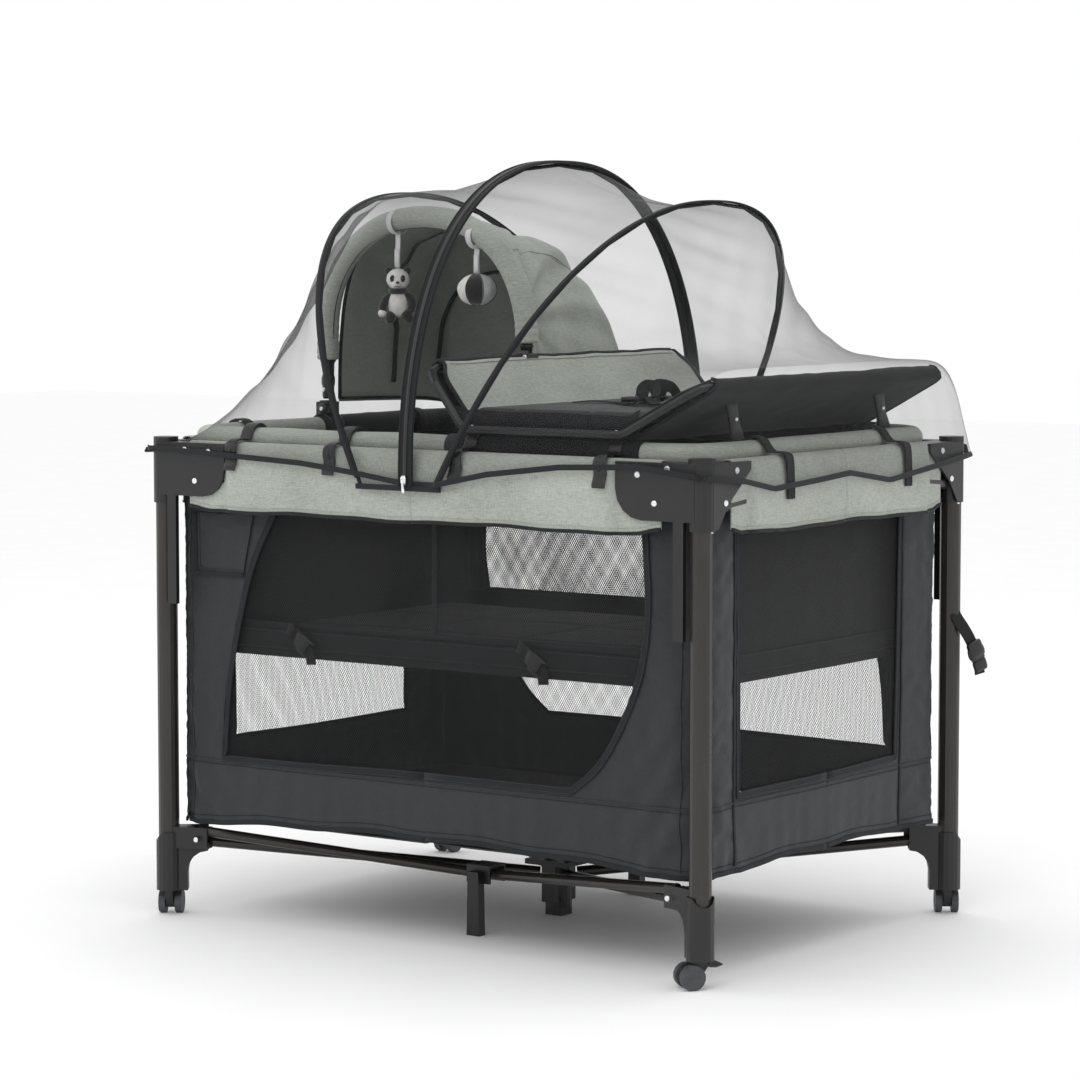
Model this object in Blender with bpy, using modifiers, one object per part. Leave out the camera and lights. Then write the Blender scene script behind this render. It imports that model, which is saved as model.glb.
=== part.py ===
"""Folding travel play yard: tube frame on casters, fabric tub, hung bassinet,
changer tray, tilting hood with a toy bar, and a hooped insect net.
Metres. +X along the long side, +Y to the rear, +Z up, floor at z = 0."""

import math
import bpy
import bmesh
from mathutils import Matrix, Vector

# ------------------------------------------------------------------ driving dimensions
HALF_X = 0.500          # leg axis to centre, long way
HALF_Y = 0.359          # leg axis to centre, short way
LEG_R = 0.0165
WALL = 0.0012
ARM_R = 0.0085
LINK_R = 0.0080
RAIL_R = 0.0100

OVER = math.atan2(0.050, 0.5305)      # over-centre angle of every folding bar
R_HUB = 0.035
R_FOOT = 0.050
DIAG = math.hypot(HALF_X, HALF_Y)
ARM_RUN = DIAG - R_HUB - R_FOOT
Z_ARM_FOOT = 0.118
Z_ARM_HUB = Z_ARM_FOOT - ARM_RUN * math.tan(OVER)

SHARE_X = HALF_X / DIAG
SHARE_Y = HALF_Y / DIAG
INSET_X = 0.052
LATCH_X = SHARE_X * (R_HUB + R_FOOT) - INSET_X
INSET_Y = 0.035
LATCH_Y = SHARE_Y * (R_HUB + R_FOOT) - INSET_Y
RUN_X = SHARE_X * ARM_RUN
RUN_Y = SHARE_Y * ARM_RUN
RAIL_OUT = 0.004
Z_RAIL = 0.686
Z_LATCH_X = Z_RAIL + RUN_X * math.tan(OVER)
Z_LATCH_Y = Z_RAIL + RUN_Y * math.tan(OVER)

MID_Y = 0.194
LINK_FULL = math.hypot(HALF_X, HALF_Y - MID_Y)
LINK_SHARE = LINK_FULL / DIAG
R_MID = 0.014
R_LINK_FOOT = LINK_SHARE * (R_HUB + R_FOOT) - R_MID
LINK_RUN = LINK_SHARE * ARM_RUN
Z_LINK_FOOT = 0.1355
Z_LINK_MID = Z_LINK_FOOT - LINK_RUN * math.tan(OVER)

SLEEVE_R = 0.0195
FOOT_R = 0.0205
BORE_R = LEG_R + 0.0003
Z_FOOT_LOW = 0.040
Z_FOOT_TOP = 0.132
Z_LEG_LOW = 0.0605
Z_LEG_TOP = 0.7415
Z_CAP = 0.757
PLATE_X = 0.135
PLATE_Y = 0.100
PLATE_IN_Y = HALF_Y + 0.0155
PLATE_OUT_Y = HALF_Y + 0.0195
PLATE_IN_X = HALF_X + 0.0155
PLATE_OUT_X = HALF_X + 0.0195
Z_PLATE_TOP = 0.750

WHEEL_R = 0.0185
WHEEL_W = 0.0105
WHEEL_GAP = 0.0130      # wheel mid-plane to fork mid-plane
TRAIL = 0.016

TUB_X = 0.4885
TUB_Y = 0.3475
TUB_T = 0.003
TUB_LOW = 0.150
TUB_TOP = 0.7515
FLAP_LOW = 0.646
FLAP_X = 0.362
FLAP_Y = 0.2565
FLAP_OUT_Y = 0.3815
FLAP_OUT_X = 0.5225

RIM_X = 0.4675
RIM_Y = 0.327
RIM_R = 0.016
RIM_Z = 0.758
RIM_CORNER = 0.050
BAS_LOW = 0.420
BAS_T = 0.003

CH_LEFT = 0.003
CH_RIGHT = 0.490
CH_Z_LEFT = 0.874
CH_Z_RIGHT = 0.856
CH_BOT_LEFT = 0.075
CH_BOT_RIGHT = 0.360
CH_BOT_Z = 0.7855
CH_END = 0.345
CH_R = 0.0065

BAR_L = Vector((-RIM_X, 0.005, 0.808))
BAR_R = Vector((CH_LEFT, -0.088, 0.8975))
BAR_TUBE = 0.0170
BAR_TOP = 1.100

NET_Z = 0.700
NET_Y = 0.391
NET_H = 0.480
NET_POW = 2.3
NET_ROD = 0.0032

LEGS = {"fl": (-1, -1), "fr": (1, -1), "rr": (1, 1), "rl": (-1, 1)}
TRAILS = {"fl": (-0.50, 0.87), "fr": (-0.60, -0.80), "rr": (-0.58, 0.81), "rl": (0.0, 1.0)}

# ------------------------------------------------------------------ scene and collections
for old in list(bpy.data.objects):
    bpy.data.objects.remove(old, do_unlink=True)

scene = bpy.context.scene
parts = bpy.data.collections.new("travel_play_yard")
tools = bpy.data.collections.new("shape_tools")
scene.collection.children.link(parts)
scene.collection.children.link(tools)


def material(name, rgb, rough, metal):
    mat = bpy.data.materials.new(name)
    mat.use_nodes = True
    shader = mat.node_tree.nodes["Principled BSDF"]
    shader.inputs["Base Color"].default_value = (rgb[0], rgb[1], rgb[2], 1.0)
    shader.inputs["Roughness"].default_value = rough
    shader.inputs["Metallic"].default_value = metal
    mat.diffuse_color = (rgb[0], rgb[1], rgb[2], 1.0)
    return mat


COLOURS = {
    "tube": ((0.040, 0.036, 0.030), 0.45, 0.6),
    "black": ((0.020, 0.020, 0.021), 0.50, 0.0),
    "wheel": ((0.060, 0.062, 0.065), 0.60, 0.0),
    "steel": ((0.45, 0.46, 0.47), 0.35, 1.0),
    "charcoal": ((0.045, 0.050, 0.054), 0.90, 0.0),
    "sage": ((0.43, 0.47, 0.41), 0.95, 0.0),
    "net": ((0.030, 0.030, 0.032), 0.80, 0.0),
    "white": ((0.80, 0.79, 0.76), 0.90, 0.0),
}


# ------------------------------------------------------------------ builders
def place(bm, name, pivot, colour, tool=False):
    """Turn a bmesh in world coordinates into an object whose origin is at pivot."""
    bmesh.ops.recalc_face_normals(bm, faces=bm.faces[:])
    pivot = Vector(pivot)
    bmesh.ops.translate(bm, verts=bm.verts[:], vec=-pivot)
    mesh = bpy.data.meshes.new(name)
    bm.to_mesh(mesh)
    bm.free()
    obj = bpy.data.objects.new(name, mesh)
    obj.location = pivot
    if tool:
        tools.objects.link(obj)
        obj.hide_render = True
        obj.display_type = "WIRE"
    else:
        parts.objects.link(obj)
        obj.data.materials.append(material(name, *COLOURS[colour]))
    return obj


def add_cylinder(bm, p0, p1, r, n, r2=None):
    p0, p1 = Vector(p0), Vector(p1)
    d = p1 - p0
    turn = d.to_track_quat("Z", "Y").to_matrix().to_4x4()
    m = Matrix.Translation((p0 + p1) / 2) @ turn @ Matrix.Rotation(math.pi / n, 4, "Z")
    bmesh.ops.create_cone(bm, cap_ends=True, segments=n, radius1=r,
                          radius2=r if r2 is None else r2, depth=d.length, matrix=m)


def add_box(bm, low, high, matrix=None):
    low, high = Vector(low), Vector(high)
    size = high - low
    m = Matrix.Translation((low + high) / 2) @ Matrix.Diagonal((size.x, size.y, size.z, 1.0))
    if matrix is not None:
        m = matrix @ m
    bmesh.ops.create_cube(bm, size=1.0, matrix=m)


def add_prism(bm, outline, a, b, to_world):
    """A flat outline of (u, v) points, extruded from w = a to w = b."""
    verts = [bm.verts.new(to_world(u, v, a)) for u, v in outline]
    face = bm.faces.new(verts)
    grown = bmesh.ops.extrude_face_region(bm, geom=[face])
    shift = Vector(to_world(0, 0, b)) - Vector(to_world(0, 0, a))
    moved = [g for g in grown["geom"] if isinstance(g, bmesh.types.BMVert)]
    bmesh.ops.translate(bm, verts=moved, vec=shift)


def solid(name, pivot, colour, *adders, tool=False):
    bm = bmesh.new()
    for adder in adders:
        adder(bm)
    return place(bm, name, pivot, colour, tool)


def cylinder(p0, p1, r, n, r2=None):
    return lambda bm: add_cylinder(bm, p0, p1, r, n, r2)


def box(low, high, matrix=None):
    return lambda bm: add_box(bm, low, high, matrix)


def prism(outline, a, b, to_world):
    return lambda bm: add_prism(bm, outline, a, b, to_world)


def boolean(obj, tool, operation):
    mod = obj.modifiers.new(operation.lower(), "BOOLEAN")
    mod.object = tool
    mod.operation = operation
    mod.solver = "EXACT"
    return mod


def fuse(obj, *adders):
    for k, adder in enumerate(adders):
        tool = solid(obj.name + ".add%d" % len(obj.modifiers), (0, 0, 0), None, adder, tool=True)
        boolean(obj, tool, "UNION")


def cut(obj, *adders):
    for k, adder in enumerate(adders):
        tool = solid(obj.name + ".cut%d" % len(obj.modifiers), (0, 0, 0), None, adder, tool=True)
        boolean(obj, tool, "DIFFERENCE")


def hollow_tube(name, p0, p1, r, wall, n, pivot, colour):
    """An open-ended tube: its outer skin, made solid inwards."""
    bm = bmesh.new()
    p0, p1 = Vector(p0), Vector(p1)
    d = p1 - p0
    turn = d.to_track_quat("Z", "Y").to_matrix().to_4x4()
    m = Matrix.Translation((p0 + p1) / 2) @ turn @ Matrix.Rotation(math.pi / n, 4, "Z")
    bmesh.ops.create_cone(bm, cap_ends=False, segments=n, radius1=r, radius2=r,
                          depth=d.length, matrix=m)
    obj = place(bm, name, pivot, colour)
    mod = obj.modifiers.new("wall", "SOLIDIFY")
    mod.thickness = wall
    mod.offset = -1.0
    return obj


def sweep(name, points, r, n, pivot, colour, closed=False, radii=None, tool=False):
    """A round bar along a polyline, through a bevelled curve turned into a mesh."""
    curve = bpy.data.curves.new(name + ".path", "CURVE")
    curve.dimensions = "3D"
    curve.bevel_depth = r
    curve.bevel_resolution = max(0, n // 4 - 1)
    curve.use_fill_caps = not closed
    curve.twist_mode = "MINIMUM"
    spline = curve.splines.new("POLY")
    spline.points.add(len(points) - 1)
    for k, p in enumerate(points):
        spline.points[k].co = (p[0], p[1], p[2], 1.0)
        spline.points[k].radius = 1.0 if radii is None else radii[k]
    spline.use_cyclic_u = closed
    holder = bpy.data.objects.new(name + ".path", curve)
    scene.collection.objects.link(holder)
    mesh = bpy.data.meshes.new_from_object(holder)
    bpy.data.objects.remove(holder, do_unlink=True)
    bm = bmesh.new()
    bm.from_mesh(mesh)
    bpy.data.meshes.remove(mesh)
    bmesh.ops.remove_doubles(bm, verts=bm.verts[:], dist=0.00005)
    return place(bm, name, pivot, colour, tool)


def fillet(points, radius, steps, closed):
    """The polyline with every inner corner rounded."""
    out = []
    count = len(points)
    for k, p in enumerate(points):
        p = Vector(p)
        if not closed and k in (0, count - 1):
            out.append(p)
            continue
        a, b = Vector(points[k - 1]), Vector(points[(k + 1) % count])
        u, v = (a - p).normalized(), (b - p).normalized()
        half = u.angle(v) / 2
        reach = min(radius / math.tan(half), (a - p).length * 0.45, (b - p).length * 0.45)
        for s in range(steps + 1):
            t = s / steps
            q0 = p + u * reach * (1 - t)
            q1 = p + v * reach * t
            out.append(q0 * (1 - t) + q1 * t)
    return out


def rounded_rectangle(half_x, half_y, corner, steps):
    out = []
    for k, (sx, sy) in enumerate([(1, 1), (-1, 1), (-1, -1), (1, -1)]):
        for s in range(steps + 1):
            a = math.pi / 2 * (k + s / steps)
            out.append((sx * (half_x - corner) + corner * math.cos(a),
                        sy * (half_y - corner) + corner * math.sin(a)))
    return out


def chamfered_rectangle(half_x, half_y, c):
    out = []
    for sx, sy, first in [(1, 1, 0), (-1, 1, 1), (-1, -1, 0), (1, -1, 1)]:
        pair = [(sx * half_x, sy * (half_y - c)), (sx * (half_x - c), sy * half_y)]
        out.extend(pair if not first else pair[::-1])
    return out


def flat(u, v, w):
    return (u, v, w)


# ------------------------------------------------------------------ legs, corners, feet, casters
def diagonal(sx, sy):
    return Vector((-sx * SHARE_X, -sy * SHARE_Y, 0.0))


def link_way(sx, sy):
    return Vector((-sx * HALF_X, -sy * (HALF_Y - MID_Y), 0.0)).normalized()


for leg, (sx, sy) in LEGS.items():
    ax = Vector((sx * HALF_X, sy * HALF_Y, 0.0))
    up = Vector((0, 0, 1))
    hollow_tube("leg_tube_" + leg, ax + up * Z_LEG_LOW, ax + up * Z_LEG_TOP, LEG_R, WALL, 16, ax, "tube")

    # corner housing: sleeve over the leg, a side plate and a top strip each way, a side strip down
    corner = solid("corner_" + leg, ax, "black", cylinder(ax + up * 0.654, ax + up * Z_CAP, SLEEVE_R, 16))

    def long_plate(u, v, w, sx=sx, sy=sy, ax=ax):
        return (ax.x - sx * u, sy * w, v)

    def short_plate(u, v, w, sx=sx, sy=sy, ax=ax):
        return (sx * w, ax.y - sy * u, v)

    r = 0.045
    outline = [(0.0, 0.667), (PLATE_X - r, 0.667)]
    for s in range(1, 5):
        a = math.pi / 2 * s / 4
        outline.append((PLATE_X - r + r * math.sin(a), 0.667 + r - r * math.cos(a)))
    outline += [(PLATE_X, Z_PLATE_TOP), (0.0, Z_PLATE_TOP)]
    fuse(corner, prism(outline, PLATE_IN_Y, PLATE_OUT_Y, long_plate))
    outline = [(0.0, 0.656), (0.014, 0.656), (0.040, 0.690), (PLATE_Y, 0.738), (PLATE_Y, Z_PLATE_TOP), (0.0, Z_PLATE_TOP)]
    fuse(corner, prism(outline, PLATE_IN_X, PLATE_OUT_X, short_plate))
    strip = [(0.004, Z_PLATE_TOP - 0.004), (PLATE_X, Z_PLATE_TOP - 0.004), (PLATE_X, Z_PLATE_TOP), (0.004, Z_PLATE_TOP)]
    fuse(corner, prism(strip, HALF_Y - 0.0095, PLATE_OUT_Y, long_plate))
    strip = [(0.004, Z_PLATE_TOP - 0.004), (PLATE_Y, Z_PLATE_TOP - 0.004), (PLATE_Y, Z_PLATE_TOP), (0.004, Z_PLATE_TOP)]
    fuse(corner, prism(strip, HALF_X - 0.0095, PLATE_OUT_X, short_plate))
    strip = [(0.0185, 0.497), (0.0360, 0.497), (0.0360, 0.690), (0.0185, 0.690)]
    fuse(corner, prism(strip, HALF_Y + 0.0120, PLATE_OUT_Y, long_plate))
    cut(corner, cylinder(ax + up * 0.600, ax + up * 0.7418, BORE_R, 16))

    # foot housing: sleeve, a clevis fin to the hub arm and one to the floor link, caster socket
    dg = diagonal(sx, sy)
    side = Vector((-dg.y, dg.x, 0.0))
    foot = solid("foot_" + leg, ax, "black", cylinder(ax + up * Z_FOOT_LOW, ax + up * Z_FOOT_TOP, FOOT_R, 16))

    def fin(u, v, w, ax=ax, dg=dg, side=side):
        return ax + dg * u + side * w + Vector((0, 0, v))

    outline = [(0.0, 0.142), (0.062, 0.142), (0.062, 0.103)]
    for s in range(1, 4):
        a = math.pi / 2 * s / 4
        outline.append((0.062 - 0.032 * math.sin(a), 0.071 + 0.032 * math.cos(a)))
    outline += [(0.030, 0.071), (0.030, Z_FOOT_LOW), (0.0, Z_FOOT_LOW)]
    fuse(foot, prism(outline, -0.0125, 0.0125, fin))
    lw = link_way(sx, sy)
    lside = Vector((-lw.y, lw.x, 0.0))

    def lfin(u, v, w, ax=ax, lw=lw, lside=lside):
        return ax + lw * u + lside * w + Vector((0, 0, v))

    reach = R_LINK_FOOT + 0.010
    fuse(foot, prism([(0.0, 0.1415), (reach, 0.1415), (reach, 0.108), (0.0, 0.108)], -0.0118, 0.0118, lfin))
    cut(foot,
        prism([(0.0355, 0.1048), (0.090, 0.1048), (0.090, 0.160), (0.0355, 0.160)], -0.0093, 0.0093, fin),
        prism([(0.0420, 0.1180), (0.090, 0.1180), (0.090, 0.160), (0.0420, 0.160)], -0.0087, 0.0087, lfin),
        cylinder(ax + up * 0.060, ax + up * 0.170, BORE_R, 16),
        cylinder(ax - dg * 0.060 + up * 0.136, ax - dg * 0.004 + up * 0.136, 0.0175, 12),
        cylinder(ax + up * 0.030, ax + up * 0.0560, 0.0043, 8))

    # twin-wheel caster
    t = Vector((TRAILS[leg][0], TRAILS[leg][1], 0.0)).normalized()
    n = Vector((-t.y, t.x, 0.0))
    hub = ax + t * TRAIL + up * WHEEL_R

    def cheek(u, v, w, ax=ax, t=t, n=n):
        return ax + t * u + n * w + Vector((0, 0, v))

    outline = [(-0.010, 0.0393), (-0.010, 0.032), (0.006, 0.010), (0.022, 0.009), (0.026, 0.016), (0.022, 0.034), (0.014, 0.0393)]
    fork = solid("caster_fork_" + leg, ax, "black", prism(outline, -0.0062, 0.0062, cheek))
    fuse(fork, cylinder(ax + up * 0.030, ax + up * 0.0550, 0.0040, 8))
    cut(fork, cylinder(hub - n * 0.02, hub + n * 0.02, 0.0035, 8))
    wheels = solid("caster_wheels_" + leg, hub, "wheel", cylinder(hub - n * 0.016, hub + n * 0.016, 0.0031, 8))
    for s in (-1, 1):
        mid = hub + n * s * WHEEL_GAP
        fuse(wheels, cylinder(mid - n * WHEEL_W / 2, mid + n * WHEEL_W / 2, WHEEL_R, 16))

# brake lever on the near caster
ax = Vector((HALF_X, -HALF_Y, 0.0))
t = Vector((TRAILS["fr"][0], TRAILS["fr"][1], 0.0)).normalized()
n = Vector((-t.y, t.x, 0.0))


def pedal(u, v, w):
    return ax + t * u + n * w + Vector((0, 0, v))


brake_pivot = pedal(-0.0150, 0.0330, 0.0)
solid("brake_lever_fr", brake_pivot, "black",
      prism([(-0.012, 0.0310), (-0.012, 0.0370), (-0.024, 0.0385), (-0.032, 0.0350), (-0.032, 0.0330), (-0.022, 0.0300)],
            -0.0060, 0.0060, pedal))

# ------------------------------------------------------------------ hub, arms, floor links, mid feet
z = Z_ARM_HUB
hub = solid("hub_body", (0, 0, 0), "black", cylinder((0, 0, 0.012), (0, 0, 0.086), 0.0200, 16))
fuse(hub,
     box((-0.040, -0.036, z + 0.0135), (0.040, 0.036, z + 0.0215)),
     box((-0.0150, -0.0150, 0.0), (0.0150, 0.0150, 0.030)),
     box((-0.0130, -0.0280, 0.022), (0.0130, 0.0280, 0.086)),)
solid("hub_pull", (0, 0, 0.092), "black",
      prism([(-0.022, 0.0902), (-0.022, 0.1250), (0.022, 0.1250), (0.022, 0.0902),
             (0.015, 0.0902), (0.015, 0.1180), (-0.015, 0.1180), (-0.015, 0.0902)], -0.006, 0.006,
            lambda u, v, w: (u, w, v)))

for leg, (sx, sy) in LEGS.items():
    ax = Vector((sx * HALF_X, sy * HALF_Y, 0.0))
    dg = diagonal(sx, sy)
    a = ax + dg * R_FOOT + Vector((0, 0, Z_ARM_FOOT))
    b = Vector((0, 0, Z_ARM_HUB)) - dg * R_HUB
    d = (b - a).normalized()
    hollow_tube("arm_" + leg, a - d * 0.009, b + d * 0.006, ARM_R, WALL, 12, a, "tube")
    lw = link_way(sx, sy)
    a = ax + lw * R_LINK_FOOT + Vector((0, 0, Z_LINK_FOOT))
    b = Vector((0, sy * MID_Y, Z_LINK_MID)) - lw * R_MID
    d = (b - a).normalized()
    hollow_tube("floor_link_" + leg, a - d * 0.007, b + d * 0.004, LINK_R, WALL, 12, a, "tube")

for name, sy in (("front", -1), ("rear", 1)):
    base = Vector((0, sy * MID_Y, 0))

    def across(u, v, w, base=base, sy=sy):
        return base + Vector((u, sy * w, v))

    zm = Z_LINK_MID
    cheek_face = [(-0.022, zm - 0.013), (0.022, zm - 0.013), (0.022, zm + 0.015), (-0.022, zm + 0.015)]
    foot = solid("mid_foot_" + name, base + Vector((0, 0, zm)), "black", prism(cheek_face, 0.0172, 0.0207, across))
    fuse(foot,
         prism([(-0.022, zm + 0.0115), (0.022, zm + 0.0115), (0.022, zm + 0.015), (-0.022, zm + 0.015)], -0.0205, 0.0205, across),
         prism(cheek_face, -0.0207, -0.0172, across),
         prism([(-0.010, zm + 0.006), (0.010, zm + 0.006), (0.012, 0.0), (-0.012, 0.0)], 0.0190, 0.0345, across))

# ------------------------------------------------------------------ top rails and their centre latches
for leg, (sx, sy) in LEGS.items():
    a = Vector((sx * (HALF_X - INSET_X), sy * (HALF_Y + RAIL_OUT), Z_RAIL))
    b = Vector((sx * LATCH_X, a.y, Z_LATCH_X))
    d = (b - a).normalized()
    hollow_tube("rail_long_" + leg, a - d * 0.004, b + d * 0.004, RAIL_R, WALL, 12, a, "tube")
    a = Vector((sx * (HALF_X + RAIL_OUT), sy * (HALF_Y - INSET_Y), Z_RAIL))
    b = Vector((a.x, sy * LATCH_Y, Z_LATCH_Y))
    d = (b - a).normalized()
    hollow_tube("rail_short_" + leg, a - d * 0.004, b + d * 0.004, RAIL_R, WALL, 12, a, "tube")

for name, along, zc in (("front", 0, Z_LATCH_X), ("rear", 0, Z_LATCH_X), ("left", 1, Z_LATCH_Y), ("right", 1, Z_LATCH_Y)):
    sign = -1 if name in ("front", "left") else 1
    if along == 0:
        base = Vector((0, sign * (HALF_Y + RAIL_OUT), zc))
        way, out = Vector((1, 0, 0)), Vector((0, 1, 0))
    else:
        base = Vector((sign * (HALF_X + RAIL_OUT), 0, zc))
        way, out = Vector((0, 1, 0)), Vector((1, 0, 0))
    half = 0.030

    def latch(u, v, w, base=base, way=way, out=out):
        return base + out * u + way * w + Vector((0, 0, v))

    # a channel that is open above, so that both half rails can swing up out of it
    c, t, lo, hi = 0.0106, 0.0030, -0.0116, 0.0120
    section = [(-c - t, hi), (-c, hi), (-c, lo), (c, lo), (c, hi), (c + t, hi), (c + t, lo - t), (-c - t, lo - t)]
    solid("rail_latch_" + name, base, "black", prism(section, -half, half, latch))

# ------------------------------------------------------------------ fabric tub looped over the rails
tub = solid("yard_fabric", (0, 0, TUB_LOW), "charcoal",
            prism(chamfered_rectangle(TUB_X, TUB_Y, 0.010), TUB_LOW, TUB_TOP, flat))
cut(tub, prism(chamfered_rectangle(TUB_X - TUB_T, TUB_Y - TUB_T, 0.0095), TUB_LOW + TUB_T, TUB_TOP + 0.05, flat))
for s in (-1, 1):
    fuse(tub,
         prism([(s * (TUB_Y - 0.001), TUB_TOP - TUB_T), (s * FLAP_OUT_Y, TUB_TOP - TUB_T), (s * FLAP_OUT_Y, TUB_TOP), (s * (TUB_Y - 0.001), TUB_TOP)],
               -FLAP_X, FLAP_X, lambda u, v, w: (w, u, v)),
         prism([(s * (FLAP_OUT_Y - TUB_T), FLAP_LOW), (s * FLAP_OUT_Y, FLAP_LOW), (s * FLAP_OUT_Y, TUB_TOP - 0.001), (s * (FLAP_OUT_Y - TUB_T), TUB_TOP - 0.001)],
               -FLAP_X, FLAP_X, lambda u, v, w: (w, u, v)),
         prism([(s * (TUB_X - 0.001), TUB_TOP - TUB_T), (s * FLAP_OUT_X, TUB_TOP - TUB_T), (s * FLAP_OUT_X, TUB_TOP), (s * (TUB_X - 0.001), TUB_TOP)],
               -FLAP_Y, FLAP_Y, lambda u, v, w: (u, w, v)),
         prism([(s * (FLAP_OUT_X - TUB_T), FLAP_LOW), (s * FLAP_OUT_X, FLAP_LOW), (s * FLAP_OUT_X, TUB_TOP - 0.001), (s * (FLAP_OUT_X - TUB_T), TUB_TOP - 0.001)],
               -FLAP_Y, FLAP_Y, lambda u, v, w: (u, w, v)))

# ------------------------------------------------------------------ bassinet and mattress
plan = rounded_rectangle(RIM_X, RIM_Y, RIM_CORNER, 4)
sweep("bassinet_rim", [(x, y, RIM_Z) for x, y in plan], RIM_R, 12, (0, 0, RIM_Z), "sage", closed=True)
bas = solid("bassinet_fabric", (0, 0, BAS_LOW), "charcoal", prism(plan, BAS_LOW, RIM_Z - RIM_R - 0.0005, flat))
cut(bas, prism(rounded_rectangle(RIM_X - BAS_T, RIM_Y - BAS_T, RIM_CORNER - BAS_T, 4), BAS_LOW + BAS_T, RIM_Z, flat))
solid("mattress", (0, 0, BAS_LOW + BAS_T), "charcoal",
      prism(rounded_rectangle(0.455, 0.314, 0.040, 3), BAS_LOW + BAS_T + 0.0004, BAS_LOW + BAS_T + 0.0240, flat))

# ------------------------------------------------------------------ changer
loop = []
for s in (-1, 1):
    half = [(CH_LEFT, s * CH_END, CH_Z_LEFT), (CH_BOT_LEFT, s * (CH_END + 0.007), CH_BOT_Z),
            (CH_BOT_RIGHT, s * (CH_END + 0.007), CH_BOT_Z), (CH_RIGHT, s * CH_END, CH_Z_RIGHT)]
    loop += half if s < 0 else half[::-1]
sweep("changer_frame", fillet(loop, 0.030, 2, True), CH_R, 8, (CH_LEFT, 0, CH_Z_LEFT), "steel", closed=True)
section = [(0.0070, 0.8570), (0.0750, 0.7775), (0.3600, 0.7775), (0.4840, 0.8390), (0.4810, 0.8435),
           (0.3530, 0.7970), (0.0830, 0.7970), (0.0110, 0.8610)]
solid("changer_fabric", (CH_LEFT, 0, CH_Z_LEFT), "sage", prism(section, -0.318, 0.318, lambda u, v, w: (u, w, v)))

# ------------------------------------------------------------------ toy bar, hood and their clamps
span = Vector((BAR_R.x - BAR_L.x, BAR_R.y - BAR_L.y, 0.0))
SPAN = span.length
span.normalize()
depth_way = Vector((-span.y, span.x, 0.0))
MID_S = SPAN / 2
HALF_S = SPAN / 2 - 0.002
SHOULDER = 0.905


def arch_point(angle, half, top, shoulder, power=2.2):
    """A point on the arch above its shoulders: angle 0 is the left end, pi the right."""
    c, s = -math.cos(angle), math.sin(angle)
    return (MID_S + half * math.copysign(abs(c) ** (2 / power), c), shoulder + (top - shoulder) * s ** (2 / power))


path, radii = [], []
PEG = 0.5 * BAR_TUBE                # both ends finish in a ball round the tilting axis
for zz, rr in ((BAR_L.z - 0.97 * PEG, 0.12), (BAR_L.z - 0.80 * PEG, 0.30), (BAR_L.z - 0.50 * PEG, 0.43),
               (BAR_L.z, 0.50), (0.8620, 0.50), (0.8660, 1.0)):
    path.append(Vector((BAR_L.x, BAR_L.y, zz)) + span * 0.002)
    radii.append(rr)
for k in range(13):
    s, zz = arch_point(math.pi * k / 12, HALF_S, BAR_TOP, SHOULDER)
    path.append(Vector((BAR_L.x, BAR_L.y, zz)) + span * s)
    radii.append(1.0)
end = path[-1].copy()
path[-1].z = SHOULDER + 0.006
path.append(Vector((end.x, end.y, SHOULDER)))
radii.append(0.50)
for drop, rr in ((0.0, 0.50), (0.50, 0.43), (0.80, 0.30), (0.97, 0.12)):
    path.append(Vector((end.x, end.y, BAR_R.z - drop * PEG)))
    radii.append(rr)
sweep("toy_bar", path, BAR_TUBE, 12, BAR_L, "sage", radii=radii)
solid("hood_clamp_left", BAR_L, "black",
      box((BAR_L.x - 0.012, BAR_L.y - 0.015, RIM_Z + RIM_R + 0.0004), (BAR_L.x + 0.012, BAR_L.y + 0.015, BAR_L.z - PEG - 0.0006)))
solid("hood_clamp_right", BAR_R, "black",
      box((BAR_R.x - 0.010, BAR_R.y - 0.015, CH_Z_LEFT + CH_R + 0.0004), (BAR_R.x + 0.010, BAR_R.y + 0.015, BAR_R.z - PEG - 0.0006)))

HOOD_T = 0.003
front_l, front_r = Vector((-0.4595, 0.0245)), Vector((-0.014, -0.052))
back_l, back_r = Vector((-0.425, 0.300)), Vector((-0.045, 0.300))
bm = bmesh.new()
rows = []
for k in range(6):
    t = k / 5
    l = front_l.lerp(back_l, t)
    r = front_r.lerp(back_r, t ** 1.2)
    top = 1.094 - 0.010 * t - 0.222 * t ** 6
    low = 0.800
    row = []
    for j in range(13):
        angle = math.pi * j / 12
        c, s = -math.cos(angle), math.sin(angle)
        u = 0.5 + 0.5 * math.copysign(abs(c) ** 0.72, c)
        p = l.lerp(r, u)
        row.append(bm.verts.new((p.x, p.y, low + (top - low) * s ** 0.72)))
    rows.append(row)
for a, b in zip(rows, rows[1:]):
    for j in range(12):
        bm.faces.new((a[j], a[j + 1], b[j + 1], b[j]))
hood = place(bm, "hood", BAR_L, "sage")
mod = hood.modifiers.new("cloth", "SOLIDIFY")
mod.thickness = HOOD_T
mod.offset = 0.0

# hanging toys
def on_bar(s):
    return Vector((BAR_L.x, BAR_L.y, 0)) + span * s


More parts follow.
